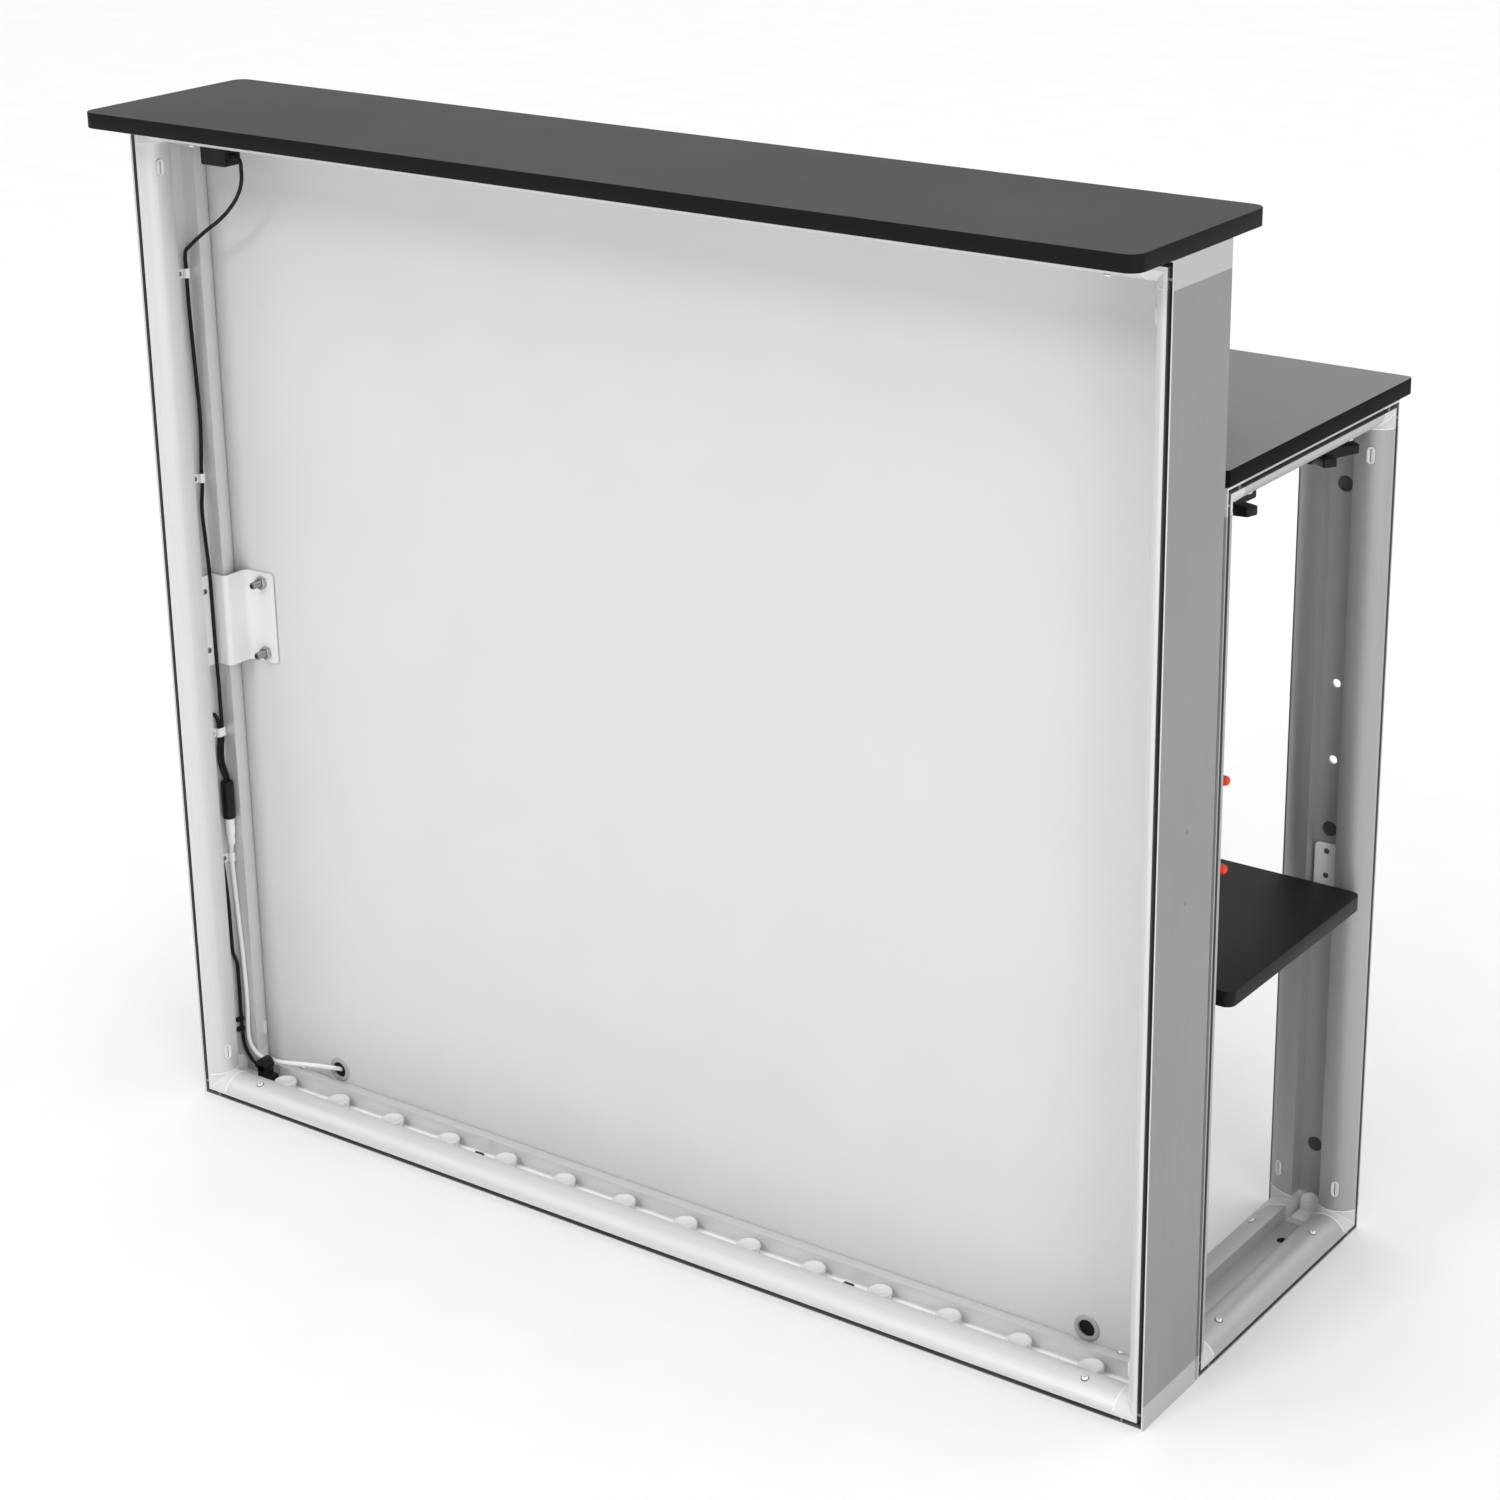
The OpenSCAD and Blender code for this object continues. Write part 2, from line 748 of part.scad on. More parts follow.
module link_knob_right_lower() { link_knob_at(0, -1, 3); }

module link_knob_left_upper() { link_knob_at(1, 1, 20); }

module link_knob_left_lower() { link_knob_at(1, -1, 35); }

// Boards
module rounded_board(width, depth, radius) {
    linear_extrude(height = board_t) {
        translate([radius, 0]) square([width - 2 * radius, depth]);
        translate([0, radius]) square([width, depth - 2 * radius]);
        for (x = [radius, width - radius], y = [radius, depth - radius])
            translate([x, y]) circle(r = radius);
    }
}

module ledge() {
    color([0.14, 0.14, 0.14]) difference() {
        place() translate([-half_w, ledge_front, frame_h]) rounded_board(counter_w, ledge_d, ledge_r);
        in_light_frame() for (x = joints) translate([half_w + x, profile_d / 2, frame_h - over])
            cylinder(d = ledge_screw_d + 2 * fit, h = ledge_screw_grip + over + gap);
    }
}

module at_top_knobs() {
    for (m = [0, 1], s = [-1, 1]) mirror([m, 0, 0])
        translate([side_mid_x, side_y + side_d / 2 + s * top_knob_pitch / 2, 0]) children();
}

module worktop() {
    front = side_y - gap;
    color([0.2, 0.2, 0.2]) place() difference() {
        translate([-half_w, front, side_h])
            rounded_board(counter_w, worktop_back - front, board_r);
        at_top_knobs() translate([0, 0, side_h - over])
            cylinder(r = insert_r + fit, h = insert_h + over + gap);
    }
}

module worktop_inserts() {
    color("goldenrod") place() at_top_knobs() translate([0, 0, side_h]) difference() {
        cylinder(r = insert_r, h = insert_h);
        translate([0, 0, -over]) cylinder(d = stud_d + 2 * fit, h = insert_h + 2 * over);
    }
}

// Worktop knob: stud, long hub and four flat arms that thin towards their tips
module worktop_knob(turn) {
    arms_h = top_hub_l + top_arm_t;
    color([0.1, 0.1, 0.1]) rotate([0, 0, turn]) {
        cylinder(r = top_hub_r, h = top_hub_l);
        translate([0, 0, top_hub_l]) cylinder(r = top_boss_r, h = top_arm_t);
        for (a = arm_angles) rotate([0, 0, a]) translate([0, top_arm_w / 2, 0]) rotate([90, 0, 0])
            linear_extrude(height = top_arm_w) polygon([
                [0, top_hub_l], [top_knob_r, top_hub_l],
                [top_knob_r, top_hub_l + top_tip_t], [top_boss_r, arms_h], [0, arms_h]
            ]);
    }
    color("silver") translate([0, 0, -web_t - gap - stud_reach])
        cylinder(d = stud_d, h = web_t + gap + stud_reach);
}

module worktop_knob_at(side, row, turn) {
    place() mirror([side, 0, 0])
        translate([side_mid_x, side_y + side_d / 2 + row * top_knob_pitch / 2, side_h - web_t - gap])
            rotate([180, 0, 0]) worktop_knob(turn);
}

module worktop_knob_right_front() { worktop_knob_at(0, -1, 16.5); }

module worktop_knob_right_rear() { worktop_knob_at(0, 1, 42); }

module worktop_knob_left_front() { worktop_knob_at(1, -1, 30); }

module worktop_knob_left_rear() { worktop_knob_at(1, 1, 5); }

// Side frame rails
module web_hole(z, diameter) {
    translate([-over, profile_d / 2, z]) rotate([0, 90, 0])
        cylinder(d = diameter, h = web_t + 2 * over);
}

module side_upright() {
    color("silver") difference() {
        upright(side_h);
        for (s = [-1, 1]) web_hole(link_z + s * link_pitch / 2, stud_hole_d);
        for (z = hole_heights) web_hole(z, hole_d);
        for (s = [-1, 1]) web_hole(bracket_screw_z + s * bracket_screw_pitch / 2,
                                   bracket_screw_d + 2 * fit);
    }
}

module side_beam() {
    color("silver") as_beam() difference() {
        as_beam() beam(side_d);
        for (z = [foot_hole_in, side_d - foot_hole_in]) web_hole(z, foot_hole_d);
    }
}

module side_beam_top() {
    color("silver") difference() {
        beam(side_d);
        for (s = [-1, 1]) translate([side_d / 2 + s * top_knob_pitch / 2, profile_d / 2, -over])
            cylinder(d = stud_d + 1, h = web_t + 2 * over);
    }
}

module side_corners() { at_corners(side_d, side_h) corner_piece(); }

module right_upright_front() { in_right_frame() side_upright(); }

module right_upright_rear() { in_right_frame() far_side(side_d) side_upright(); }

module right_beam_top() { in_right_frame() top_side(side_h) side_beam_top(); }

module right_beam_bottom() { in_right_frame() side_beam(); }

module right_frame_corners() { in_right_frame() side_corners(); }

module left_upright_front() { in_left_frame() side_upright(); }

module left_upright_rear() { in_left_frame() far_side(side_d) side_upright(); }

module left_beam_top() { in_left_frame() top_side(side_h) side_beam_top(); }

module left_beam_bottom() { in_left_frame() side_beam(); }

module left_frame_corners() { in_left_frame() side_corners(); }

// Shelf on four angle brackets, which stand on the channel floors of the uprights
shelf_under = shelf_top - board_t;
shelf_r = board_r + board_t / 4;
bracket_screw_z = shelf_top + bracket_up - bracket_screw_drop - bracket_screw_pitch / 2;

module shelf() {
    color([0.1, 0.1, 0.1]) place()
        translate([-half_w, side_y + web_t + shelf_set, shelf_under])
            rounded_board(counter_w, side_d - 2 * web_t - shelf_set - shelf_rear_set, shelf_r);
}

// Standing leg of a shelf bracket, with round upper corners
module bracket_leg(height) {
    rotate([90, 0, 90]) linear_extrude(height = bracket_t) {
        square([bracket_w, height - bracket_r]);
        translate([bracket_r, 0]) square([bracket_w - 2 * bracket_r, height]);
        for (x = [bracket_r, bracket_w - bracket_r])
            translate([x, height - bracket_r]) circle(r = bracket_r);
    }
}

module shelf_bracket(reach) {
    color("gainsboro") difference() {
        translate([web_t, (profile_d - bracket_w) / 2, shelf_under - bracket_t]) {
            bracket_leg(board_t + bracket_t + bracket_up);
            cube([reach, bracket_w, bracket_t]);
        }
        for (s = [-1, 1]) translate([web_t, 0, 0])
            web_hole(bracket_screw_z + s * bracket_screw_pitch / 2, bracket_screw_d + 2 * fit);
    }
}

module shelf_brackets() {
    shelf_bracket(shelf_set + bracket_bite);
    far_side(side_d) shelf_bracket(shelf_rear_set + bracket_bite);
}

module shelf_brackets_right() { in_right_frame() shelf_brackets(); }

module shelf_brackets_left() { in_left_frame() shelf_brackets(); }

module bracket_screw_pair() {
    for (s = [-1, 1])
        translate([web_t + bracket_t, profile_d / 2, bracket_screw_z + s * bracket_screw_pitch / 2])
            rotate([0, 90, 0]) joint_screw(bracket_screw_d, bracket_t + web_t - fit,
                                           bracket_screw_head_r, bracket_screw_head_h);
}

module shelf_bracket_screws() {
    color("dimgray") {
        in_right_frame() { bracket_screw_pair(); far_side(side_d) bracket_screw_pair(); }
        in_left_frame() { bracket_screw_pair(); far_side(side_d) bracket_screw_pair(); }
    }
}

// Small parts that repeat over the three frames
module corner_angles() {
    in_each_frame() {
        at_corners(counter_w, frame_h) corner_angle();
        at_corners(side_d, side_h) corner_angle();
    }
}

module plugs_of(width, height) {
    for (m = [0, 1]) translate([m * width, 0, 0]) mirror([m, 0, 0])
        at_both_ends(height, plug_from_end) on_both_flanges() slot_plug();
}

module flange_plugs() {
    in_each_frame() {
        plugs_of(counter_w, frame_h);
        plugs_of(side_d, side_h);
    }
}

module screws_of(width, height) {
    for (m = [0, 1]) translate([0, 0, m * height]) mirror([0, 0, m])
        as_beam() at_both_ends(width, fix_from_end) on_both_flanges() fix_screw();
}

module flange_screws() {
    in_each_frame() {
        screws_of(counter_w, frame_h);
        screws_of(side_d, side_h);
    }
}

module blank_plugs() {
    color("dimgray") for (z = hole_heights) translate([0, profile_d / 2, z]) rotate([0, 90, 0]) {
        translate([0, 0, -plug_head_t]) cylinder(r1 = plug_head_r - plug_head_t,
                                                 r2 = plug_head_r, h = plug_head_t);
        cylinder(r = hole_d / 2 - fit, h = web_t - 2 * fit);
    }
}

module hole_plugs() {
    for (side = [0, 1]) mirror([side, 0, 0]) in_right_frame() far_side(side_d) blank_plugs();
}

// Leads: one tube swept along each route
lean = [1, -1, 1];
function route_dir(p, i) = unit(p[min(i + 1, len(p) - 1)] - p[max(i - 1, 0)]);
function ring(p, i, r, sides) =
    let (t = route_dir(p, i), a = unit(cross(t, lean)), b = cross(t, a))
    [for (k = [0 : sides - 1]) p[i] + r * (a * cos(360 * k / sides) + b * sin(360 * k / sides))];

module lead(route, diameter) {
    sides = 8;
    n = len(route);
    points = [for (i = [0 : n - 1]) each ring(route, i, diameter / 2, sides)];
    walls = [for (i = [0 : n - 2], k = [0 : sides - 1])
        let (m = (k + 1) % sides) [i * sides + k, i * sides + m, (i + 1) * sides + m, (i + 1) * sides + k]];
    ends = [[for (k = [sides - 1 : -1 : 0]) k], [for (k = [0 : sides - 1]) (n - 1) * sides + k]];
    polyhedron(points, concat(walls, ends), convexity = 10);
}

module upper_lead() { color([0.1, 0.1, 0.1]) place() lead(upper_route, thin_d); }

module lower_lead() { color([0.1, 0.1, 0.1]) place() lead(lower_route, thin_d); }

module supply_lead() { color("white") place() lead(supply_route, supply_d); }

module supply_coupler() {
    color("white") place() translate([-grommet_x, coupler_y, coupler_r + gap])
        rotate([-90, 0, 0]) cylinder(r = coupler_r, h = coupler_l);
}

// Splitter: sleeve with both thin leads in its top and the white plug in its foot
module lead_splitter() {
    place() translate([-half_w + web_t + sleeve_r + gap, sleeve_y, sleeve_z]) {
        color([0.1, 0.1, 0.1]) cylinder(r = sleeve_r, h = sleeve_l);
        color("white") {
            translate([0, 0, -plug_body_l]) cylinder(r = plug_r, h = plug_body_l);
            translate([0, 0, -plug_body_l - plug_neck_l]) cylinder(r = plug_neck_r, h = plug_neck_l);
        }
    }
}

// Clip: foot on the channel floor and a loop round one lead, or round two side by side
module clip_loop(r, spread, height) {
    for (y = [0, spread]) translate([0, y, 0]) cylinder(r = r, h = height);
    translate([-r, 0, 0]) cube([2 * r, spread + fit, height]);
}

module clip(lead_d, y, spread, z, length) {
    bore_r = lead_d / 2 + gap;
    loop_r = bore_r + clip_t;
    translate([-half_w + web_t, y, z]) difference() {
        union() {
            translate([0, -loop_r - clip_foot, 0]) cube([clip_t, loop_r + clip_foot, length]);
            translate([0, -loop_r, 0]) cube([loop_r, 2 * loop_r + spread, length]);
            translate([loop_r, 0, 0]) clip_loop(loop_r, spread, length);
        }
        translate([loop_r, 0, -over]) clip_loop(bore_r, spread, length + 2 * over);
    }
}

module lead_clips() {
    color("white") place() for (p = clip_places) clip(p[0], p[1], p[2], p[3], clip_l);
}

module lead_ties() {
    color([0.1, 0.1, 0.1]) place() for (z = tie_heights) clip(thin_d, tie_y, 0, z, tie_l);
}

// Lower feed: round head on a stem, with a foot and a nose that takes the lead
module lower_feed() {
    translate([first_x + feed_in, (profile_d - feed_d) / 2, web_t + pcb_t]) {
        translate([0, feed_d, feed_h - feed_lobe_r]) rotate([90, 0, 0])
            cylinder(r = feed_lobe_r, h = feed_d);
        translate([-feed_stem_w / 2, 0, 0]) cube([feed_stem_w, feed_d, feed_h - feed_lobe_r]);
        cube([feed_foot_l, feed_d, feed_foot_h]);
        translate([-feed_lobe_r - feed_nose_l, (feed_d - feed_nose_w) / 2, feed_nose_h])
            cube([feed_lobe_r + feed_nose_l, feed_nose_w, feed_nose_w]);
    }
}

// Upper junction box and lower feed, both on the circuit boards
module lead_connectors() {
    color([0.1, 0.1, 0.1]) place() {
        translate([led_first - box_l / 2, (profile_d - box_w) / 2, frame_h - web_t - pcb_t - box_h])
            cube([box_l, box_w, box_h]);
        lower_feed();
    }
}

front_rail_left();
front_rail_right();
front_rail_top();
front_rail_bottom();
front_corner_top_left();
front_corner_top_right();
front_corner_bottom_left();
front_corner_bottom_right();
back_panel();
grommet_left();
grommet_right();
led_boards_lower();
led_lenses_lower();
led_boards_upper();
led_lenses_upper();
board_screws();
ledge_screws();
link_bracket_left();
link_bracket_right();
link_bracket_screws();
link_studs();
link_nuts();
spacer_pads();
link_knob_left_upper();
link_knob_left_lower();
link_knob_right_upper();
link_knob_right_lower();
ledge();
worktop();
worktop_inserts();
worktop_knob_left_front();
worktop_knob_left_rear();
worktop_knob_right_front();
worktop_knob_right_rear();
left_upright_front();
left_upright_rear();
left_beam_top();
left_beam_bottom();
left_frame_corners();
right_upright_front();
right_upright_rear();
right_beam_top();
right_beam_bottom();
right_frame_corners();
shelf();
shelf_brackets_left();
shelf_brackets_right();
shelf_bracket_screws();
corner_angles();
flange_plugs();
flange_screws();
hole_plugs();
supply_lead();
supply_coupler();
lead_splitter();
upper_lead();
lower_lead();
lead_clips();
lead_connectors();
lead_ties();
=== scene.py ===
import json
import math
import bmesh
import bpy
from mathutils import Matrix, Vector

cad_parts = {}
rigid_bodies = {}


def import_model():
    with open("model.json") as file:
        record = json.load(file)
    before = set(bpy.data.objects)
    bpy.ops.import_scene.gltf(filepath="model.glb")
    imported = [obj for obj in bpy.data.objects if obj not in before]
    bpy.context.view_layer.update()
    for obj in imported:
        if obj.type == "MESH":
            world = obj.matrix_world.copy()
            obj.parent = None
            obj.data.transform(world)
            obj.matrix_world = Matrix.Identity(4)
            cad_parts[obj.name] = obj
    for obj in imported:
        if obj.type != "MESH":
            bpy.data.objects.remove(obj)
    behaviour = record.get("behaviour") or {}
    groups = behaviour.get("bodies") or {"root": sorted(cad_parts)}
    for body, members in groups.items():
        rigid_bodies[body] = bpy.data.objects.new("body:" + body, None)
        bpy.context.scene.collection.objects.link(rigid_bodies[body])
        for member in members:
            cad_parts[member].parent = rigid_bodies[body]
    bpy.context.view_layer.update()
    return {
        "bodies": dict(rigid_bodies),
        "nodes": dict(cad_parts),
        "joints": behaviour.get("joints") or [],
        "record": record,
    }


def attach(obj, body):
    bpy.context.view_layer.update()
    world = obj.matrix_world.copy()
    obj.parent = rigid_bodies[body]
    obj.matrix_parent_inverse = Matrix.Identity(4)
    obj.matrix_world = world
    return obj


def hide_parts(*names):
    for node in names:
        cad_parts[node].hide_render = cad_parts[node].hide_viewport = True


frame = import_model()
nodes = frame["nodes"]

# Sizes in millimetres, depths from the light frame's show face
MM = 0.001
SHOW_FACE_Y = -206.25
HALF_W = 600.0
FRAME_H = 1100.0
SIDE_Y = 105.0
SIDE_D = 342.0
SIDE_H = 880.0
PROFILE_D = 100.0
MIDDLE = PROFILE_D / 2
WEB_T = 3.0
LIP_T = 1.8
GROOVE_IN = 4.2
GROOVE_HALF_W = 2.4
GROOVE_FROM_MIDDLE = 35.5
CORNER_UP = 25.5
CORNER_ALONG = 32.0
BOARD_T = 16.0
SHELF_Z = 370.0
SHELF_SCREWS_Z = (385.0, 411.0)
BRACKET_T = 3.0
BRACKET_W = 26.0
BRACKET_H = 52.0
BRACKET_REACH = (72.0, 60.0)
HOLE_PLUGS_Z = (433.4, 790.4, 83.2)
FOOT_HOLES_IN = (70.0, 272.0)
FIX_IN = 16.0
PLUG_FROM_END = 51.0
SCREW_FROM_END = 71.0
STUD_X = 550.0
STUD_Y = 77.0
STUD_L = 61.0
STUD_SOCKET_R = 2.6
NUT_FROM_FOOT = 17.5
LINK_Z = 547.0
LINK_SHEET_H = 102.0
LINK_SCREW_OFF = 33.5
STUD_OFF = 40.0
TOP_KNOB_OFF = 94.0
TOP_STUD_L = 14.3
KNOB_SEAT = WEB_T + 0.3
BOARD_TOP = 4.6
LENS_FIRST = -524.0
LENS_PITCH = 80.0
LENS_COUNT = 14
BOARD_JOINTS = (-484.0, -244.0, -4.0, 236.0, 476.0)
BOARDS_END = 546.0
FEED_X = -554.0

# Faces that meet at less than this many degrees are shaded as one
SMOOTH_UNDER = 35.0

COUNTER = "counter"
TO_FRAME = Matrix.Scale(MM, 4) @ Matrix.Translation((0.0, SHOW_FACE_Y, 0.0))

# Brightness of the flanges of the light frame and of the side frames, of the outer walls of the uprights and
# of the corner pieces, and of the insides of the fabric grooves. All but the first are painted shade: the
# side frames are the light frame's profile made darker, and the outer walls and grooves are darker where
# shade falls
PROFILE_LIGHT = 0.74
SIDE_SHADED = 0.43
OUTER_WALL_SHADE = 0.285
CORNER_WALL_SHADE = 0.48
GROOVE_SHADE = 0.22

# Strength of the world as a light, and as the camera sees it
WORLD_LIGHT = 0.37
WORLD_SEEN = 1.0

# Camera, found from the photograph's edges, in millimetres from the light frame's show face
CAMERA_AT = (1834.1, -2280.0, 1695.5)
CAMERA_TO = (-25.6, 335.9, 573.8)
CAMERA_ROLL = 0.716
CAMERA_LENS = 77.9
CAMERA_SHIFT = (-0.0267, -0.0867)


def place(x, y, z):
    """A point given from the show face, in metres of the shared frame."""
    return Vector((x * MM, (y + SHOW_FACE_Y) * MM, z * MM))


# Shader groups that several finishes share

def new_group(name, inputs, outputs):
    group = bpy.data.node_groups.new(name, "ShaderNodeTree")
    for label, kind, value in inputs:
        socket = group.interface.new_socket(label, in_out="INPUT", socket_type=kind)
        socket.default_value = value
    for label, kind in outputs:
        group.interface.new_socket(label, in_out="OUTPUT", socket_type=kind)
    start = group.nodes.new("NodeGroupInput")
    end = group.nodes.new("NodeGroupOutput")
    return group, start, end


def drawn_grain_group():
    """Fine lines along one direction, and soft patches, as on drawn metal."""
    group, start, end = new_group(
        "drawn grain",
        [("Squeeze", "NodeSocketVector", (1.0, 1.0, 1.0)), ("Fineness", "NodeSocketFloat", 900.0),
         ("Patch size", "NodeSocketFloat", 6.0)],
        [("Lines", "NodeSocketFloat"), ("Patches", "NodeSocketFloat")])
    coords = group.nodes.new("ShaderNodeTexCoord")
    squeeze = group.nodes.new("ShaderNodeVectorMath")
    squeeze.operation = "MULTIPLY"
    lines = group.nodes.new("ShaderNodeTexNoise")
    lines.inputs["Detail"].default_value = 3.0
    lines.inputs["Roughness"].default_value = 0.6
    patches = group.nodes.new("ShaderNodeTexNoise")
    patches.inputs["Detail"].default_value = 2.0
    link = group.links.new
    link(coords.outputs["Object"], squeeze.inputs[0])
    link(start.outputs["Squeeze"], squeeze.inputs[1])
    link(squeeze.outputs[0], lines.inputs["Vector"])
    link(start.outputs["Fineness"], lines.inputs["Scale"])
    link(coords.outputs["Object"], patches.inputs["Vector"])
    link(start.outputs["Patch size"], patches.inputs["Scale"])
    link(lines.outputs["Fac"], end.inputs["Lines"])
    link(patches.outputs["Fac"], end.inputs["Patches"])
    return group


def pebble_group():
    """Small even grain of a moulded or pressed surface, and wider soft patches."""
    group, start, end = new_group(
        "pebble grain",
        [("Fineness", "NodeSocketFloat", 1200.0), ("Patch size", "NodeSocketFloat", 8.0)],
        [("Grain", "NodeSocketFloat"), ("Specks", "NodeSocketFloat"), ("Patches", "NodeSocketFloat")])
    coords = group.nodes.new("ShaderNodeTexCoord")
    grain = group.nodes.new("ShaderNodeTexVoronoi")
    grain.feature = "SMOOTH_F1"
    specks = group.nodes.new("ShaderNodeTexNoise")
    specks.inputs["Detail"].default_value = 4.0
    patches = group.nodes.new("ShaderNodeTexNoise")
    patches.inputs["Detail"].default_value = 2.0
    link = group.links.new
    for texture in (grain, specks, patches):
        link(coords.outputs["Object"], texture.inputs["Vector"])
    link(start.outputs["Fineness"], grain.inputs["Scale"])
    link(start.outputs["Fineness"], specks.inputs["Scale"])
    link(start.outputs["Patch size"], patches.inputs["Scale"])
    link(grain.outputs["Distance"], end.inputs["Grain"])
    link(specks.outputs["Fac"], end.inputs["Specks"])
    link(patches.outputs["Fac"], end.inputs["Patches"])
    return group


DRAWN = drawn_grain_group()
PEBBLE = pebble_group()


# Finishes

def new_finish(name, roughness=0.5, metallic=0.0, specular=0.5):
    finish = bpy.data.materials.new(name)
    finish.use_nodes = True
    shader = finish.node_tree.nodes["Principled BSDF"]
    shader.inputs["Roughness"].default_value = roughness
    shader.inputs["Metallic"].default_value = metallic
    shader.inputs["Specular IOR Level"].default_value = specular
    return finish, shader


def add_group(finish, group, values):
    step = finish.node_tree.nodes.new("ShaderNodeGroup")
    step.node_tree = group
    for label, value in values.items():
        step.inputs[label].default_value = value
    return step


def spread(finish, mask, low, high, socket, window=(0.3, 0.7)):
    """Turns a mask into a value between low and high, and feeds it to a socket."""
    step = finish.node_tree.nodes.new("ShaderNodeMapRange")
    step.inputs["From Min"].default_value = window[0]
    step.inputs["From Max"].default_value = window[1]
    step.inputs["To Min"].default_value = low
    step.inputs["To Max"].default_value = high
    finish.node_tree.links.new(mask, step.inputs["Value"])
    finish.node_tree.links.new(step.outputs["Result"], socket)


def blend_colours(finish, mask, dark, light, window=(0.3, 0.7)):
    """A colour between two, by a mask."""
    step = finish.node_tree.nodes.new("ShaderNodeMix")
    step.data_type = "RGBA"
    step.inputs["A"].default_value = (*dark, 1.0)
    step.inputs["B"].default_value = (*light, 1.0)
    spread(finish, mask, 0.0, 1.0, step.inputs["Factor"], window)
    return step.outputs["Result"]


def grey(value):
    return (value, value, value)


def ripple(finish, shader, height, distance, strength):
    bump = finish.node_tree.nodes.new("ShaderNodeBump")
    bump.inputs["Distance"].default_value = distance
    bump.inputs["Strength"].default_value = strength
    finish.node_tree.links.new(height, bump.inputs["Height"])
    finish.node_tree.links.new(bump.outputs["Normal"], shader.inputs["Normal"])


def calculate(finish, operation, *values):
    """One step of arithmetic on sockets and numbers."""
    step = finish.node_tree.nodes.new("ShaderNodeMath")
    step.operation = operation
    for socket, value in zip(step.inputs, values):
        if isinstance(value, float):
            socket.default_value = value
        else:
            finish.node_tree.links.new(value, socket)
    return step.outputs[0]


def away_from(finish, axis, middle):
    """Distance from a middle plane across an axis; along X, from the nearer of two planes."""
    coords = finish.node_tree.nodes.new("ShaderNodeTexCoord")
    split = finish.node_tree.nodes.new("ShaderNodeSeparateXYZ")
    finish.node_tree.links.new(coords.outputs["Object"], split.inputs[0])
    value = split.outputs[axis.upper()]
    if axis == "x":
        value = calculate(finish, "ABSOLUTE", value)
    return calculate(finish, "ABSOLUTE", calculate(finish, "SUBTRACT", value, middle))


def outer_wall_shade_mask(finish, axis, distance):
    """1 on the wall that lies further out along an axis than a distance, on either side: where the outer
    wall's painted shade goes.
    """
    return calculate(finish, "GREATER_THAN", away_from(finish, axis, 0.0), distance)


def groove_shade_mask(finish, across, depth):
    """1 in the fabric grooves, where shade is painted.

    Across holds each axis with the frame's middle and half size on it, depth the profile's axis and middle.
    """
    mask = 0.0
    for side in across:
        axis, middle, half = side
        groove = calculate(finish, "COMPARE", away_from(finish, axis, middle),
                           half - GROOVE_IN * MM, GROOVE_HALF_W * MM)
        for axis, middle, half in (other for other in across if other is not side):
            short_of_lip = calculate(finish, "LESS_THAN", away_from(finish, axis, middle), half - LIP_T * MM)
            groove = calculate(finish, "MULTIPLY", groove, short_of_lip)
        mask = calculate(finish, "MAXIMUM", groove, mask)
    at_face = calculate(finish, "GREATER_THAN", away_from(finish, *depth), GROOVE_FROM_MIDDLE * MM)
    return calculate(finish, "MULTIPLY", mask, at_face)


def where(finish, mask, colour, other):
    """The other colour where the mask is 1, and the first elsewhere."""
    step = finish.node_tree.nodes.new("ShaderNodeMix")
    step.data_type = "RGBA"
    link = finish.node_tree.links.new
    link(mask, step.inputs["Factor"])
    link(colour, step.inputs["A"])
    link(other, step.inputs["B"])
    return step.outputs["Result"]


def tone_by_place(finish, colour, wall_shade, outer, patches, groove):
    """The colour, with painted shade on the outer wall and in the fabric grooves of a finish that has them.
    """
    if outer:
        mask, dark, light = wall_shade
        colour = where(finish, outer_wall_shade_mask(finish, *outer), colour,
                       blend_colours(finish, mask, grey(dark), grey(light)))
    if groove:
        # Darker inside the grooves: painted shade
        colour = where(finish, groove_shade_mask(finish, *groove), colour,
                       blend_colours(finish, patches, grey(GROOVE_SHADE * 0.8), grey(GROOVE_SHADE)))
    return colour


def coat(finish, shader, colour, mask, smoother, rougher):
    """Feeds a colour and, by a mask, a roughness between two to the shader."""
    finish.node_tree.links.new(colour, shader.inputs["Base Color"])
    spread(finish, mask, smoother, rougher, shader.inputs["Roughness"])


def drawn_metal(name, along, light, roughness, metallic, groove, outer=None):
    """Anodised extrusion with its draw lines along one axis."""
    finish, shader = new_finish(name, metallic=metallic)
    squeeze = tuple(0.01 if axis == along else 1.0 for axis in "xyz")
    grain = add_group(finish, DRAWN, {"Squeeze": squeeze, "Fineness": 900.0})
    lines, patches = grain.outputs["Lines"], grain.outputs["Patches"]
    colour = blend_colours(finish, lines, grey(light * 0.95), grey(light))
    # The outer wall's darker tone is painted shade
    wall_shade = (lines, OUTER_WALL_SHADE * 0.95, OUTER_WALL_SHADE * 1.03)
    colour = tone_by_place(finish, colour, wall_shade, outer, patches, groove)
    coat(finish, shader, colour, patches, roughness - 0.05, roughness + 0.06)
    ripple(finish, shader, lines, 0.00006, 0.35)
    return finish


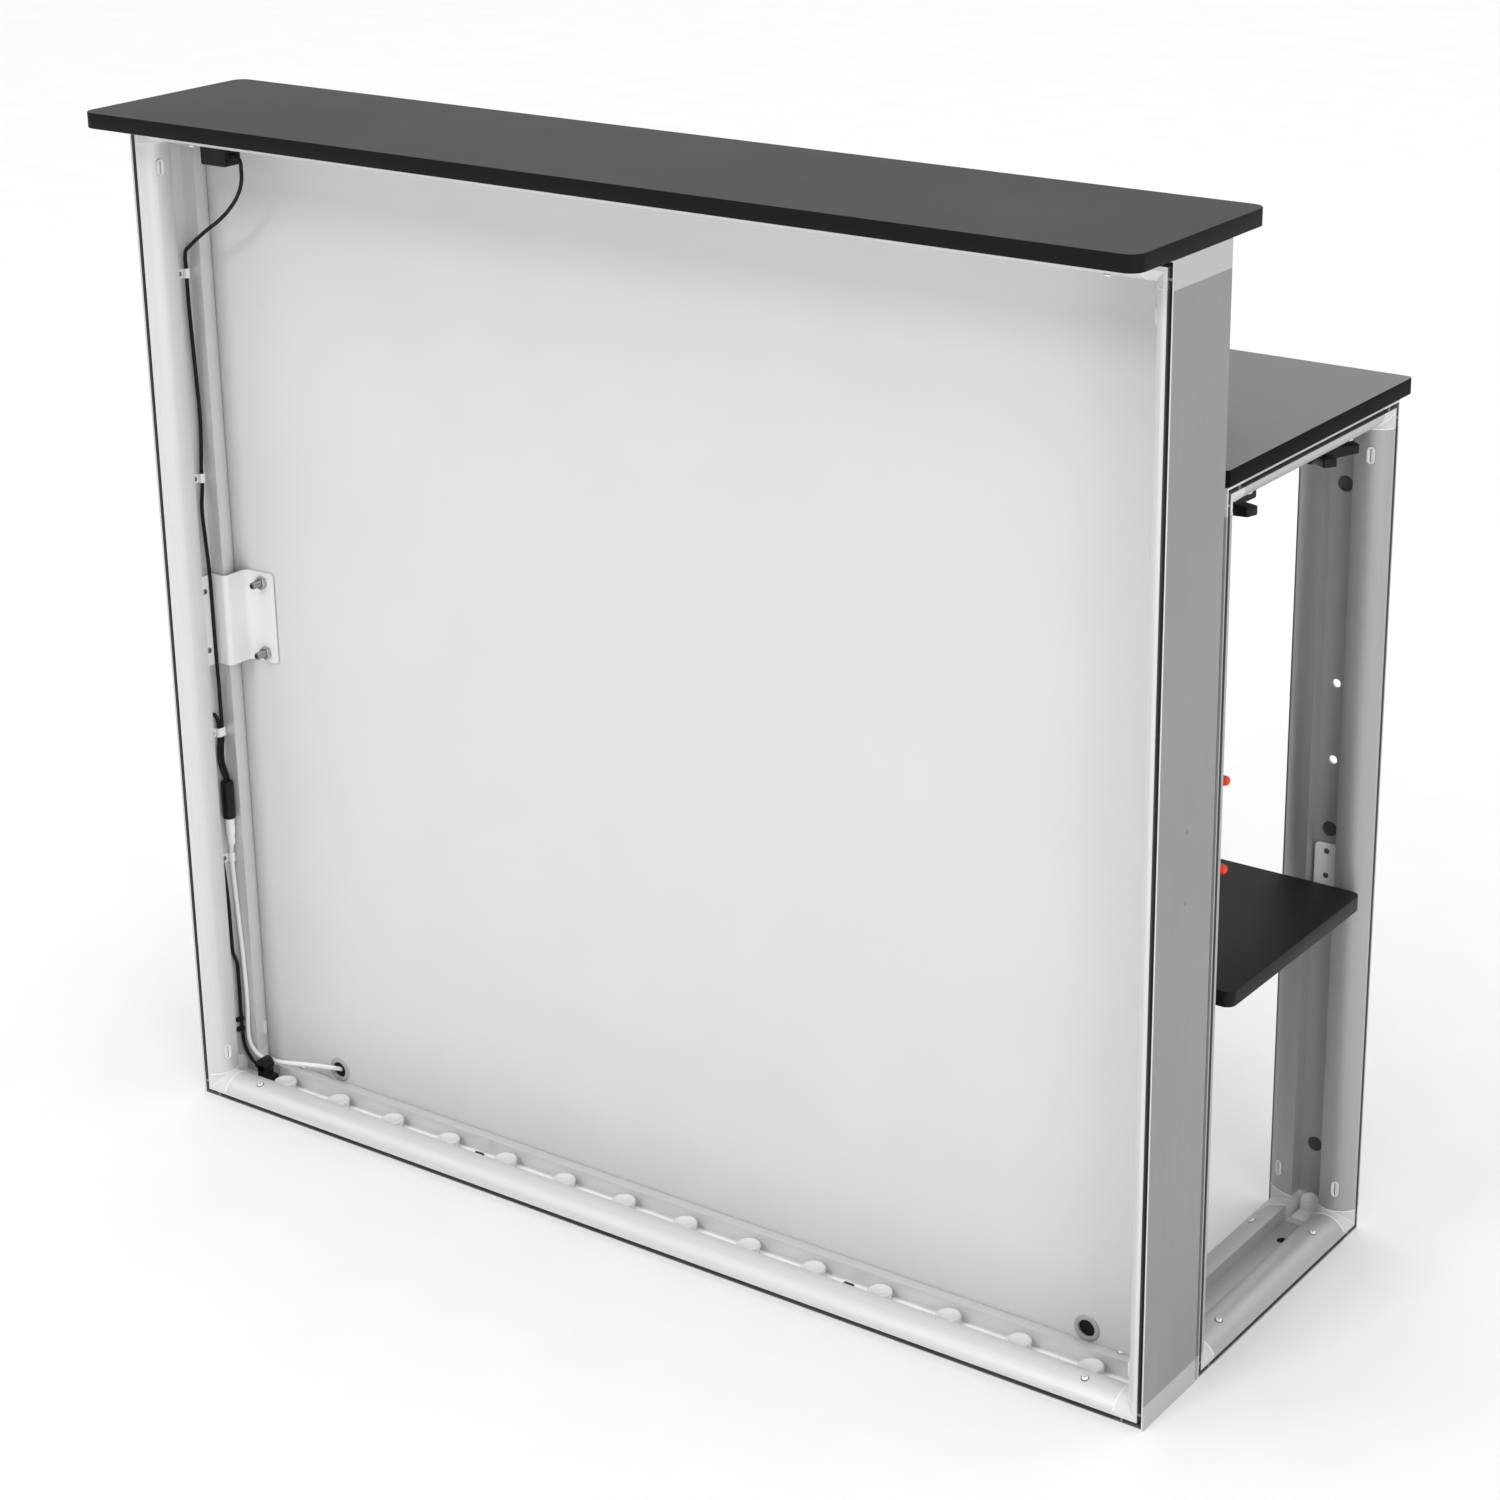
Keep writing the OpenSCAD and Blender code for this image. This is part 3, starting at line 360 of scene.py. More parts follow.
def moulded(name, dark, light, roughness, fineness=1200.0, depth=0.00004, specular=0.5, metallic=0.0,
            outer=None, groove=None):
    """Moulded or coated surface with a faint grain."""
    finish, shader = new_finish(name, metallic=metallic, specular=specular)
    grain = add_group(finish, PEBBLE, {"Fineness": fineness})
    patches = grain.outputs["Patches"]
    colour = blend_colours(finish, patches, dark, light)
    # The outer wall's darker tone is painted shade
    wall_shade = (patches, CORNER_WALL_SHADE * 0.97, CORNER_WALL_SHADE)
    colour = tone_by_place(finish, colour, wall_shade, outer, patches, groove)
    coat(finish, shader, colour, grain.outputs["Specks"], roughness - 0.05, roughness + 0.05)
    ripple(finish, shader, grain.outputs["Grain"], depth, 0.4)
    return finish


def laminate(name, face, edge, roughness, specular):
    """Pressed laminate: a dotted grey face where the surface lies flat, lighter than the edge partly as
    painted sheen, and a plain dark edge band where the surface stands upright.
    """
    finish, shader = new_finish(name, specular=specular)
    tree = finish.node_tree
    grain = add_group(finish, PEBBLE, {"Fineness": 2600.0, "Patch size": 5.0})
    dots = blend_colours(finish, grain.outputs["Specks"], grey(face * 0.8), grey(face * 1.2), (0.35, 0.65))
    geometry = tree.nodes.new("ShaderNodeNewGeometry")
    split = tree.nodes.new("ShaderNodeSeparateXYZ")
    tree.links.new(geometry.outputs["Normal"], split.inputs[0])
    # Faces that lie flat take the lighter face tone, partly painted sheen
    lying = calculate(finish, "ABSOLUTE", split.outputs["Z"])
    band = tree.nodes.new("ShaderNodeMix")
    band.data_type = "RGBA"
    band.inputs["A"].default_value = (*grey(edge), 1.0)
    spread(finish, lying, 0.0, 1.0, band.inputs["Factor"], (0.5, 0.9))
    tree.links.new(dots, band.inputs["B"])
    coat(finish, shader, band.outputs["Result"], grain.outputs["Patches"], roughness - 0.04, roughness + 0.05)
    ripple(finish, shader, grain.outputs["Grain"], 0.00005, 0.5)
    return finish


def clear_lens():
    finish, shader = new_finish("clear lens", roughness=0.06)
    shader.inputs["Transmission Weight"].default_value = 0.25
    shader.inputs["IOR"].default_value = 1.49
    grain = add_group(finish, PEBBLE, {"Fineness": 300.0, "Patch size": 60.0})
    colour = blend_colours(finish, grain.outputs["Patches"], grey(0.94), grey(0.98))
    coat(finish, shader, colour, grain.outputs["Specks"], 0.10, 0.16)
    return finish


# Where the masks of the painted shade in the grooves and on the outer walls lie, in metres: an axis, a middle
# and a half size, or an axis and a distance
FRONT_X = ("x", 0.0, HALF_W * MM)
FRONT_Z = ("z", FRAME_H / 2 * MM, FRAME_H / 2 * MM)
FRONT_DEPTH = ("y", (SHOW_FACE_Y + MIDDLE) * MM)
SIDE_ACROSS = ("y", (SHOW_FACE_Y + SIDE_Y + SIDE_D / 2) * MM, SIDE_D / 2 * MM)
SIDE_Z = ("z", SIDE_H / 2 * MM, SIDE_H / 2 * MM)
SIDE_DEPTH = ("x", (HALF_W - MIDDLE) * MM)
FRONT_OUTER = ("x", (HALF_W - 0.5) * MM)
SIDE_OUTER = ("y", (SHOW_FACE_Y + SIDE_Y + SIDE_D - 0.55) * MM)

PROFILE_X = drawn_metal("anodised profile along x", "x", PROFILE_LIGHT, 0.42, 0.3, ((FRONT_Z,), FRONT_DEPTH))
# The side frames take the same profile with a darker brightness: painted shade
PROFILE_Y = drawn_metal("anodised profile along y", "y", SIDE_SHADED + 0.08, 0.42, 0.35,
                        ((SIDE_Z,), SIDE_DEPTH))
PROFILE_Z_FRONT = drawn_metal("anodised front upright", "z", PROFILE_LIGHT, 0.42, 0.3,
                              ((FRONT_X,), FRONT_DEPTH), FRONT_OUTER)
PROFILE_Z_SIDE = drawn_metal("anodised side upright", "z", SIDE_SHADED, 0.42, 0.35,
                             ((SIDE_ACROSS,), SIDE_DEPTH), SIDE_OUTER)
CORNER_GREY = moulded("light grey corner moulding", grey(0.70), grey(0.76), 0.42, outer=FRONT_OUTER,
                      groove=((FRONT_X, FRONT_Z), FRONT_DEPTH))
# The side frames' corner moulding is the same moulding made darker: painted shade
CORNER_SIDE = moulded("side frame corner moulding", grey(0.62), grey(0.68), 0.42,
                      groove=((SIDE_ACROSS, SIDE_Z), SIDE_DEPTH))
# Paler than the moulding itself: partly a painted highlight along the rims
RIM_HIGHLIGHT = moulded("pale rim of the mouldings, painted highlight", grey(0.90), grey(0.95), 0.30)
PANEL_WHITE = moulded("white panel sheet", grey(0.705), grey(0.725), 0.40, 500.0, 0.00002)
PLUG_GREY = moulded("pale plug", grey(0.80), grey(0.86), 0.32)
PLUG_DARK = moulded("dark plug", grey(0.075), grey(0.10), 0.50, specular=0.25)
WHITE_STEEL = moulded("white powder coat", grey(0.80), grey(0.86), 0.35, 1500.0, 0.00005)
ZINC = moulded("zinc plate", grey(0.20), grey(0.30), 0.32, 260.0, 0.00002, metallic=0.9)
SCREW_STEEL = moulded("plated steel", grey(0.22), grey(0.32), 0.30, 700.0, 0.00002, metallic=0.9)
NUT_STEEL = moulded("zinc plated nut", grey(0.32), grey(0.44), 0.26, 260.0, 0.00002, metallic=0.7)
BRIGHT_STEEL = moulded("bright plated steel", grey(0.93), grey(0.98), 0.22, 700.0, 0.00002)
ANGLE_GREY = moulded("light grey angle moulding", grey(0.86), grey(0.93), 0.30)
BRACKET_GREY = moulded("pale coated steel", grey(0.92), grey(0.97), 0.30)
GROMMET_GREY = moulded("grey grommet", grey(0.40), grey(0.48), 0.35)
ORANGE = moulded("orange red moulding", (0.86, 0.040, 0.006), (0.92, 0.055, 0.010), 0.34, specular=0.3)
BLACK = moulded("black moulding", grey(0.006), grey(0.011), 0.42, specular=0.22)
RUBBER = moulded("black rubber", grey(0.007), grey(0.013), 0.55, specular=0.2)
WHITE_SHEATH = moulded("white sheath", grey(0.90), grey(0.95), 0.38)
WHITE_NYLON = moulded("white nylon", grey(0.88), grey(0.94), 0.40)
WHITE_BOARD = moulded("white solder mask", grey(0.93), grey(0.97), 0.40, 900.0, 0.00002)
BRASS = moulded("brass", (0.55, 0.38, 0.14), (0.65, 0.46, 0.20), 0.30, metallic=0.9)
LENS_CLEAR = clear_lens()
# The face tones are partly painted sheen; the worktop's much lighter face stands in for the sheen on its top
LEDGE_TOP = laminate("ledge laminate", 0.055, 0.005, 0.55, 0.15)
WORKTOP_TOP = laminate("worktop laminate", 0.225, 0.003, 0.50, 0.04)
SHELF_TOP = laminate("shelf laminate", 0.006, 0.004, 0.48, 0.20)

# Finish of each carried-over piece, by a part of its name; the first that fits counts
FINISHES = (
    ("front_rail_top", PROFILE_X), ("front_rail_bottom", PROFILE_X), ("front_rail_", PROFILE_Z_FRONT),
    ("_upright_", PROFILE_Z_SIDE), ("_beam_", PROFILE_Y),
    ("front_corner_", CORNER_GREY), ("_frame_corners", CORNER_SIDE), ("corner_angles", ZINC),
    ("back_panel", PANEL_WHITE), ("grommet", BRIGHT_STEEL),
    ("flange_screws", BRIGHT_STEEL), ("_screws", SCREW_STEEL),
    ("led_boards", WHITE_BOARD), ("led_lenses", LENS_CLEAR),
    ("link_bracket_", WHITE_STEEL), ("shelf_brackets_", ZINC),
    ("link_studs", SCREW_STEEL), ("link_nuts", SCREW_STEEL),
    ("link_knob", ORANGE), ("worktop_knob", BLACK), ("worktop_inserts", BRASS),
    ("ledge", LEDGE_TOP), ("worktop", WORKTOP_TOP), ("shelf", SHELF_TOP),
    ("spacer_pads", RUBBER), ("hole_plugs", PLUG_DARK), ("flange_plugs", PLUG_GREY),
    ("upper_lead", RUBBER), ("lower_lead", RUBBER), ("supply_", WHITE_SHEATH),
    ("lead_clips", WHITE_NYLON), ("lead_", BLACK),
)


def dress_frame():
    """Gives the carried-over pieces their finishes."""
    for name in nodes:
        mesh = nodes[name].data
        mesh.materials.clear()
        mesh.materials.append(next(finish for part, finish in FINISHES if part in name))


# Modelling: shapes are built in millimetres from the show face, and turned into metres at the end

def soften(shape, size, segments=2, sharper_than=35.0, edges=None):
    """Rounds the sharp edges of a shape, or the ones given."""
    if edges is None:
        limit = math.radians(sharper_than)
        edges = [edge for edge in shape.edges if edge.is_manifold and edge.calc_face_angle() > limit]
    bmesh.ops.bevel(shape, geom=edges, offset=size, segments=segments, profile=0.5, material=-1,
                    affect="EDGES", clamp_overlap=True)
    return shape


def verts_of(geometry):
    return [item for item in geometry if isinstance(item, bmesh.types.BMVert)]


def middle_of(edge):
    return (edge.verts[0].co + edge.verts[1].co) / 2


def face_out(shape):
    bmesh.ops.remove_doubles(shape, verts=shape.verts, dist=0.002)
    bmesh.ops.recalc_face_normals(shape, faces=shape.faces)
    return shape


def turned(outline, steps=40, ring=False):
    """A turned solid about Z from points of radius and height; a ring where the outline closes on itself."""
    shape = bmesh.new()
    points = [shape.verts.new((radius, 0.0, height)) for radius, height in outline]
    pairs = list(zip(points, points[1:]))
    if ring:
        pairs.append((points[-1], points[0]))
    edges = [shape.edges.new(pair) for pair in pairs]
    bmesh.ops.spin(shape, geom=points + edges, axis=(0.0, 0.0, 1.0), cent=(0.0, 0.0, 0.0),
                   angle=math.tau, steps=steps, use_merge=True)
    return face_out(shape)


def block(low, high, soft=0.0, segments=2):
    """A block between two corners, with its edges rounded."""
    shape = bmesh.new()
    bmesh.ops.create_cube(shape, size=1.0)
    low, high = Vector(low), Vector(high)
    bmesh.ops.scale(shape, vec=high - low, verts=shape.verts)
    bmesh.ops.translate(shape, vec=(low + high) / 2, verts=shape.verts)
    return soften(shape, soft, segments) if soft else shape


def upright_edges(shape):
    return [edge for edge in shape.edges
            if abs((edge.verts[0].co - edge.verts[1].co).normalized().z) > 0.99]


def round_plate(low, high, corner, rim, corner_segments=8, rim_segments=2):
    """A plate with round upright corners and a small rounding round its rims."""
    shape = block(low, high)
    soften(shape, corner, corner_segments, edges=upright_edges(shape))
    return soften(shape, rim, rim_segments, sharper_than=60.0)


def bent_sheet(path, bends, width, thick, corner):
    """A sheet bent along a path of X and Y points and drawn out along Z, with round outer corners."""
    shape = bmesh.new()
    points = [shape.verts.new((x, y, 0.0)) for x, y in path]
    edges = [shape.edges.new(pair) for pair in zip(points, points[1:])]
    drawn = bmesh.ops.extrude_edge_only(shape, edges=edges)["geom"]
    bmesh.ops.translate(shape, vec=(0.0, 0.0, width), verts=verts_of(drawn))
    places = [Vector((x, y, width / 2)) for x, y in path[1:-1]]
    for bend_at, reach in zip(places, bends):
        bend = [edge for edge in upright_edges(shape) if (middle_of(edge) - bend_at).length < 0.1]
        soften(shape, reach, 6, edges=bend)
    bmesh.ops.recalc_face_normals(shape, faces=shape.faces)
    bmesh.ops.solidify(shape, geom=shape.faces[:], thickness=thick)
    tips = [Vector((*end, z)) for end in (path[0], path[-1]) for z in (0.0, width)]
    corners = [edge for edge in shape.edges if edge.calc_length() < thick * 1.2
               and any((middle_of(edge) - tip).length < thick for tip in tips)]
    soften(shape, corner, 5, edges=corners)
    face_out(shape)
    return soften(shape, 0.3, 1, sharper_than=60.0)


def put_in(shape, part, matrix=None):
    """Adds a part to a shape, in the place that a matrix gives, and uses the part up."""
    mesh = bpy.data.meshes.new("part")
    part.to_mesh(mesh)
    part.free()
    if matrix is not None:
        mesh.transform(matrix)
        if matrix.determinant() < 0:
            mesh.flip_normals()
    shape.from_mesh(mesh)
    bpy.data.meshes.remove(mesh)


def several(maker, matrices):
    """One shape of equal parts in several places."""
    shape = bmesh.new()
    for matrix in matrices:
        put_in(shape, maker(), matrix)
    return shape


def finish_piece(name, shape, finish, node, body=COUNTER, hides=True):
    """Makes the shape a piece of the scene that stands for a node, or lies with it."""
    mesh = bpy.data.meshes.new(name)
    shape.to_mesh(mesh)
    shape.free()
    mesh.transform(TO_FRAME)
    mesh.shade_smooth()
    mesh.set_sharp_from_angle(angle=math.radians(SMOOTH_UNDER))
    mesh.materials.append(finish)
    piece = bpy.data.objects.new(name, mesh)
    bpy.context.scene.collection.objects.link(piece)
    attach(piece, body)
    if hides:
        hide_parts(node)


# Places of the three frames, and of what repeats in them

def shift(x, y, z):
    return Matrix.Translation((x, y, z))


def turn(angle, axis):
    return Matrix.Rotation(math.radians(angle), 4, axis)


MIRROR_X = Matrix.Diagonal((-1.0, 1.0, 1.0, 1.0))
MIRROR_Y = Matrix.Diagonal((1.0, -1.0, 1.0, 1.0))
MIRROR_Z = Matrix.Diagonal((1.0, 1.0, -1.0, 1.0))
UPRIGHT_TO_BEAM = Matrix(((0, 0, 1, 0), (0, 1, 0, 0), (1, 0, 0, 0), (0, 0, 0, 1)))
TO_MITRE = Matrix(((1, 0, 0, 0), (0, 1, 0, 0), (1, 0, 1, 0), (0, 0, 0, 1)))
LIGHT_FRAME = shift(-HALF_W, 0.0, 0.0)
RIGHT_FRAME = shift(HALF_W, SIDE_Y, 0.0) @ turn(90.0, "Z")
LEFT_FRAME = MIRROR_X @ RIGHT_FRAME
FRAMES = ((LIGHT_FRAME, 2 * HALF_W, FRAME_H), (RIGHT_FRAME, SIDE_D, SIDE_H), (LEFT_FRAME, SIDE_D, SIDE_H))
BOTH_SIDES = (Matrix(), MIRROR_X)


def far_side(width):
    return shift(width, 0.0, 0.0) @ MIRROR_X


def top_side(height):
    return shift(0.0, 0.0, height) @ MIRROR_Z


def frame_corners():
    return [frame @ side @ end
            for frame, width, height in FRAMES
            for side in (Matrix(), far_side(width)) for end in (Matrix(), top_side(height))]


def flange_curves():
    """Foot, ridge, centre and radius of an upright's two flanges, as depth from the face and height."""
    curves = []
    for foot, bulge, rear in (((0.0, 10.5), 8.0, False), ((3.0, 5.5), 3.0, True)):
        foot, ridge = Vector(foot), Vector((34.5, 20.5))
        chord = ridge - foot
        radius = ((chord.length / 2) ** 2 + bulge ** 2) / (2 * bulge)
        across = Vector((chord.y, -chord.x)).normalized()
        curves.append((foot, ridge, (foot + ridge) / 2 + across * (radius - bulge), radius, rear))
    return curves


def on_flanges():
    """The two places on an upright's flanges, front and rear, that look away from the flange."""
    places = []
    for foot, ridge, centre, radius, rear in flange_curves():
        tilt = math.degrees(math.asin((FIX_IN - centre.x) / radius))
        depth, tilt = (PROFILE_D - centre.x, -tilt) if rear else (centre.x, tilt)
        places.append(shift(centre.y, depth, 0.0) @ turn(tilt, "Z")
                      @ shift(radius, 0.0, 0.0) @ turn(90.0, "Y"))
    return places


def upright_plug_places():
    return [frame @ side @ shift(0.0, 0.0, z) @ flange
            for frame, width, height in FRAMES
            for side in (Matrix(), far_side(width))
            for z in (PLUG_FROM_END, height - PLUG_FROM_END) for flange in on_flanges()]


def beam_screw_places():
    return [frame @ end @ UPRIGHT_TO_BEAM @ shift(0.0, 0.0, z) @ flange
            for frame, width, height in FRAMES
            for end in (Matrix(), top_side(height))
            for z in (SCREW_FROM_END, width - SCREW_FROM_END) for flange in on_flanges()]


# Rims of the corner mouldings, raised, their pale colour partly a painted highlight

def flange_rim(foot, ridge, centre, radius, rear):
    """A fine raised rim along one flange, square to the rail."""
    start = math.atan2(foot.x - centre.x, foot.y - centre.y)
    end = math.atan2(ridge.x - centre.x, ridge.y - centre.y)
    shape = bmesh.new()
    bmesh.ops.create_grid(shape, x_segments=1, y_segments=1, size=0.5)
    bmesh.ops.transform(shape, verts=shape.verts,
                        matrix=turn(math.degrees(start), "Z") @ shift(radius, 0.0, 0.0)
                        @ turn(90.0, "X") @ Matrix.Diagonal((0.7, 1.1, 1.0, 1.0)))
    bmesh.ops.spin(shape, geom=shape.verts[:] + shape.edges[:] + shape.faces[:], axis=(0.0, 0.0, 1.0),
                   cent=(0.0, 0.0, 0.0), angle=end - start, steps=14)
    bmesh.ops.translate(shape, vec=(centre.y, centre.x, 0.0), verts=shape.verts)
    if rear:
        bmesh.ops.transform(shape, verts=shape.verts, matrix=shift(0.0, PROFILE_D, 0.0) @ MIRROR_Y)
    return face_out(shape)


def corner_rims():
    """Rims on one corner: at the end on the upright, at the end on the beam, and along the mitre."""
    shape = bmesh.new()
    places = (shift(0.0, 0.0, CORNER_UP), UPRIGHT_TO_BEAM @ shift(0.0, 0.0, CORNER_ALONG), TO_MITRE)
    for at in places:
        for curve in flange_curves():
            put_in(shape, flange_rim(*curve), at)
    return shape


# Screws, nuts and studs

def cross_head(radius, height):
    """A domed screw head with a cross recess, its seat at Z = 0."""
    shape = bmesh.new()
    half = radius * 0.56
    bmesh.ops.create_grid(shape, x_segments=5, y_segments=5, size=half)
    cell = half * 2 / 5
    recess = [face for face in shape.faces
              if abs(face.calc_center_median().x) + abs(face.calc_center_median().y) < cell * 1.2]
    pressed = bmesh.ops.extrude_face_region(shape, geom=recess)["geom"]
    bmesh.ops.translate(shape, vec=(0.0, 0.0, -height * 0.35), verts=verts_of(pressed))
    edge_ring = [edge for edge in shape.edges if edge.is_boundary]
    for reach, drop in ((0.9, 0.3), (1.0, 0.65), (1.0, 1.0)):
        flared = bmesh.ops.extrude_edge_only(shape, edges=edge_ring)["geom"]
        for vert in verts_of(flared):
            flat = vert.co.xy.normalized() * radius * reach
            vert.co = (flat.x, flat.y, -height * drop)
        edge_ring = [e for e in flared if isinstance(e, bmesh.types.BMEdge) and e.is_boundary]
    bmesh.ops.translate(shape, vec=(0.0, 0.0, height), verts=shape.verts)
    bmesh.ops.holes_fill(shape, edges=edge_ring, sides=0)
    bmesh.ops.recalc_face_normals(shape, faces=shape.faces)
    return shape


def hex_nut():
    """A hexagon nut with chamfered corners, its seat at Z = 0."""
    ring = [(4.1, 0.0), (7.0, 0.0), (7.5, 0.5), (7.5, 6.0), (7.0, 6.5), (5.0, 6.5), (4.1, 5.8)]
    return turned(ring, steps=6, ring=True)


def threaded_rod(length, socket=0.0):
    """A stud with chamfered ends and thread ridges along Z, and a socket in its foot where it has one."""
    radius, pitch = 4.0, 1.25
    outline = [(0.0, socket), (socket * 0.8, socket), (socket * 0.9, 0.0), (radius - 0.9, 0.0)]
    if not socket:
        outline = [(0.0, 0.0), outline[-1]]
    for count in range(int((length - 2.0) / pitch)):
        height = 1.0 + count * pitch
        outline += [(radius - 0.6, height), (radius, height + pitch / 2)]
    outline += [(radius - 0.6, length - 0.6), (radius - 1.0, length), (0.0, length)]
    return turned(outline, steps=20)


def screw_heads(name, radius, height, places, finish, node):
    finish_piece(name, several(lambda: cross_head(radius, height), places), finish, node)


def make_fixings():
    in_beams = beam_screw_places()
    screw_heads("flange_screw_heads", 3.3, 1.8, in_beams, BRIGHT_STEEL, "flange_screws")
    # A flat dark ring round each head: painted shade round the head's seat
    shade_ring = [(3.2, 0.0), (4.1, 0.0), (4.1, 0.25), (3.2, 0.25)]
    finish_piece("flange_screw_shade_rings", several(lambda: turned(shade_ring, 24, ring=True), in_beams),
                 PLUG_DARK, "flange_screws", hides=False)
    in_boards = [shift(x, MIDDLE, BOARD_TOP) for x in (*BOARD_JOINTS, BOARDS_END)]
    screw_heads("board_screw_heads", 3.0, 1.6, in_boards, SCREW_STEEL, "board_screws")
    under_ledge = [shift(x, MIDDLE, FRAME_H - BOARD_TOP) @ MIRROR_Z for x in BOARD_JOINTS]
    screw_heads("ledge_screw_heads", 4.5, 3.0, under_ledge, SCREW_STEEL, "ledge_screws")
    in_links = [side @ shift(-HALF_W + 5.5, MIDDLE, LINK_Z + offset) @ turn(90.0, "Y")
                for side in BOTH_SIDES for offset in (-LINK_SCREW_OFF, LINK_SCREW_OFF)]
    screw_heads("link_bracket_screw_heads", 3.6, 2.0, in_links, SCREW_STEEL, "link_bracket_screws")
    by_shelf = [frame @ side @ shift(6.0, MIDDLE, z) @ turn(90.0, "Y")
                for frame in (RIGHT_FRAME, LEFT_FRAME) for side in (Matrix(), far_side(SIDE_D))
                for z in SHELF_SCREWS_Z]
    screw_heads("shelf_bracket_screw_heads", 3.6, 2.0, by_shelf, ZINC, "shelf_bracket_screws")


def make_link_hardware():
    studs = [side @ shift(STUD_X, STUD_Y, LINK_Z + offset)
             for side in BOTH_SIDES for offset in (-STUD_OFF, STUD_OFF)]
    rod_places = [stud @ turn(-90.0, "X") for stud in studs]
    finish_piece("threaded_studs", several(lambda: threaded_rod(STUD_L, STUD_SOCKET_R), rod_places),
                 ZINC, "link_studs")
    nut_places = [stud @ shift(0.0, NUT_FROM_FOOT, 0.0) @ turn(90.0, "X") @ turn(15.0, "Z") for stud in studs]
    finish_piece("hexagon_nuts", several(hex_nut, nut_places), NUT_STEEL, "link_nuts")
    path = ((4.25, 38.5), (4.25, 63.95), (24.55, 63.95), (24.55, 95.75), (65.0, 95.75))
    for name, side in (("link_bracket_left", Matrix()), ("link_bracket_right", MIRROR_X)):
        shape = bmesh.new()
        sheet = bent_sheet(path, (3.0, 4.0, 9.0), LINK_SHEET_H, 2.5, 4.0)
        put_in(shape, sheet, side @ shift(-HALF_W, 0.0, LINK_Z - LINK_SHEET_H / 2))
        finish_piece(name + "_sheet", shape, WHITE_STEEL, name)


# Corner angles, plugs and shelf brackets

def angle_plate():
    """A moulded angle in the corner of a channel, with a round top and a boss in each leg."""
    shape = round_plate((3.0, 38.0, 3.0), (27.0, 62.0, 6.0), 2.5, 0.5, 4)
    standing = block((-12.0, 0.0, 0.0), (12.0, 24.0, 3.0))
    top = [edge for edge in upright_edges(standing) if edge.verts[0].co.y > 20.0]
    soften(standing, 11.6, 10, edges=top)
    soften(standing, 0.5, 2, sharper_than=60.0)
    stand_up = Matrix(((0, 0, 1, WEB_T), (1, 0, 0, MIDDLE), (0, 1, 0, WEB_T), (0, 0, 0, 1)))
    put_in(shape, standing, stand_up)
    boss = [(0.0, 0.0), (4.2, 0.0), (4.0, 0.7), (3.2, 0.9), (2.6, 0.2), (0.0, 0.2)]
    for at in (stand_up @ shift(0.0, 12.5, 3.0), shift(16.5, MIDDLE, 6.0)):
        put_in(shape, turned(boss, 24), at)
    return shape


def slot_plug():
    """A long round plug with a shallow dish in its face."""
    shape = round_plate((-8.6, -4.1, -2.4), (8.6, 4.1, 1.2), 4.05, 0.4, 8)
    face = max(shape.faces, key=lambda f: f.calc_center_median().z + f.calc_area() * 0.001)
    bmesh.ops.inset_region(shape, faces=[face], thickness=1.1, depth=0.0)
    bmesh.ops.inset_region(shape, faces=[face], thickness=0.5, depth=-0.55)
    return shape


def hole_plug():
    rim = [(0.0, 2.0), (5.6, 2.1), (6.3, 2.7), (7.6, 2.9), (7.95, 2.5), (7.95, 0.0), (9.0, 0.0),
           (8.8, -0.5), (7.8, -1.2), (0.0, -1.2)]
    return turned(rim, 32)


# A dark cup in each foot hole: painted shade that stands for the floor's shadow seen through the hole
def foot_hole_shade_disc():
    cup = [(0.0, 1.2), (3.6, 1.4), (4.9, 2.2), (5.3, 2.4), (5.45, 2.2), (5.45, 0.2), (0.0, 0.2)]
    return turned(cup, 28)


def shelf_bracket(reach):
    """A bent angle with round corners: X away from the web, Y across, Z up from the shelf's underside."""
    half = BRACKET_T / 2
    path = ((half, BRACKET_H), (half, half), (reach, half))
    return bent_sheet(path, (3.2,), BRACKET_W, BRACKET_T, 5.0)


def make_frame_details():
    finish_piece("corner_rims_light_frame", several(corner_rims, frame_corners()[:4]), RIM_HIGHLIGHT,
                 "front_corner_top_left", hides=False)
    finish_piece("corner_rims_side_frames", several(corner_rims, frame_corners()[4:]), RIM_HIGHLIGHT,
                 "right_frame_corners", hides=False)
    finish_piece("corner_angle_mouldings", several(angle_plate, frame_corners()), ANGLE_GREY, "corner_angles")
    finish_piece("long_round_plugs", several(slot_plug, upright_plug_places()), PLUG_GREY, "flange_plugs")
    plugs = [side @ RIGHT_FRAME @ far_side(SIDE_D) @ shift(0.0, MIDDLE, z) @ turn(90.0, "Y")
             for side in BOTH_SIDES for z in HOLE_PLUGS_Z]
    finish_piece("round_hole_plugs", several(hole_plug, plugs), PLUG_DARK, "hole_plugs")
    feet = [frame @ shift(x, MIDDLE, 0.0) for frame in (RIGHT_FRAME, LEFT_FRAME) for x in FOOT_HOLES_IN]
    finish_piece("foot_hole_shade_discs", several(foot_hole_shade_disc, feet), RUBBER, "hole_plugs", hides=False)
    for name, frame in (("right", RIGHT_FRAME), ("left", LEFT_FRAME)):
        shape = bmesh.new()
        for side, reach in zip((Matrix(), far_side(SIDE_D)), BRACKET_REACH):
            at = frame @ side @ shift(WEB_T, MIDDLE + BRACKET_W / 2, SHELF_Z - BRACKET_T) @ turn(90.0, "X")
            put_in(shape, shelf_bracket(reach), at)
        finish_piece("shelf_angles_" + name, shape, BRACKET_GREY, "shelf_brackets_" + name)


# Boards

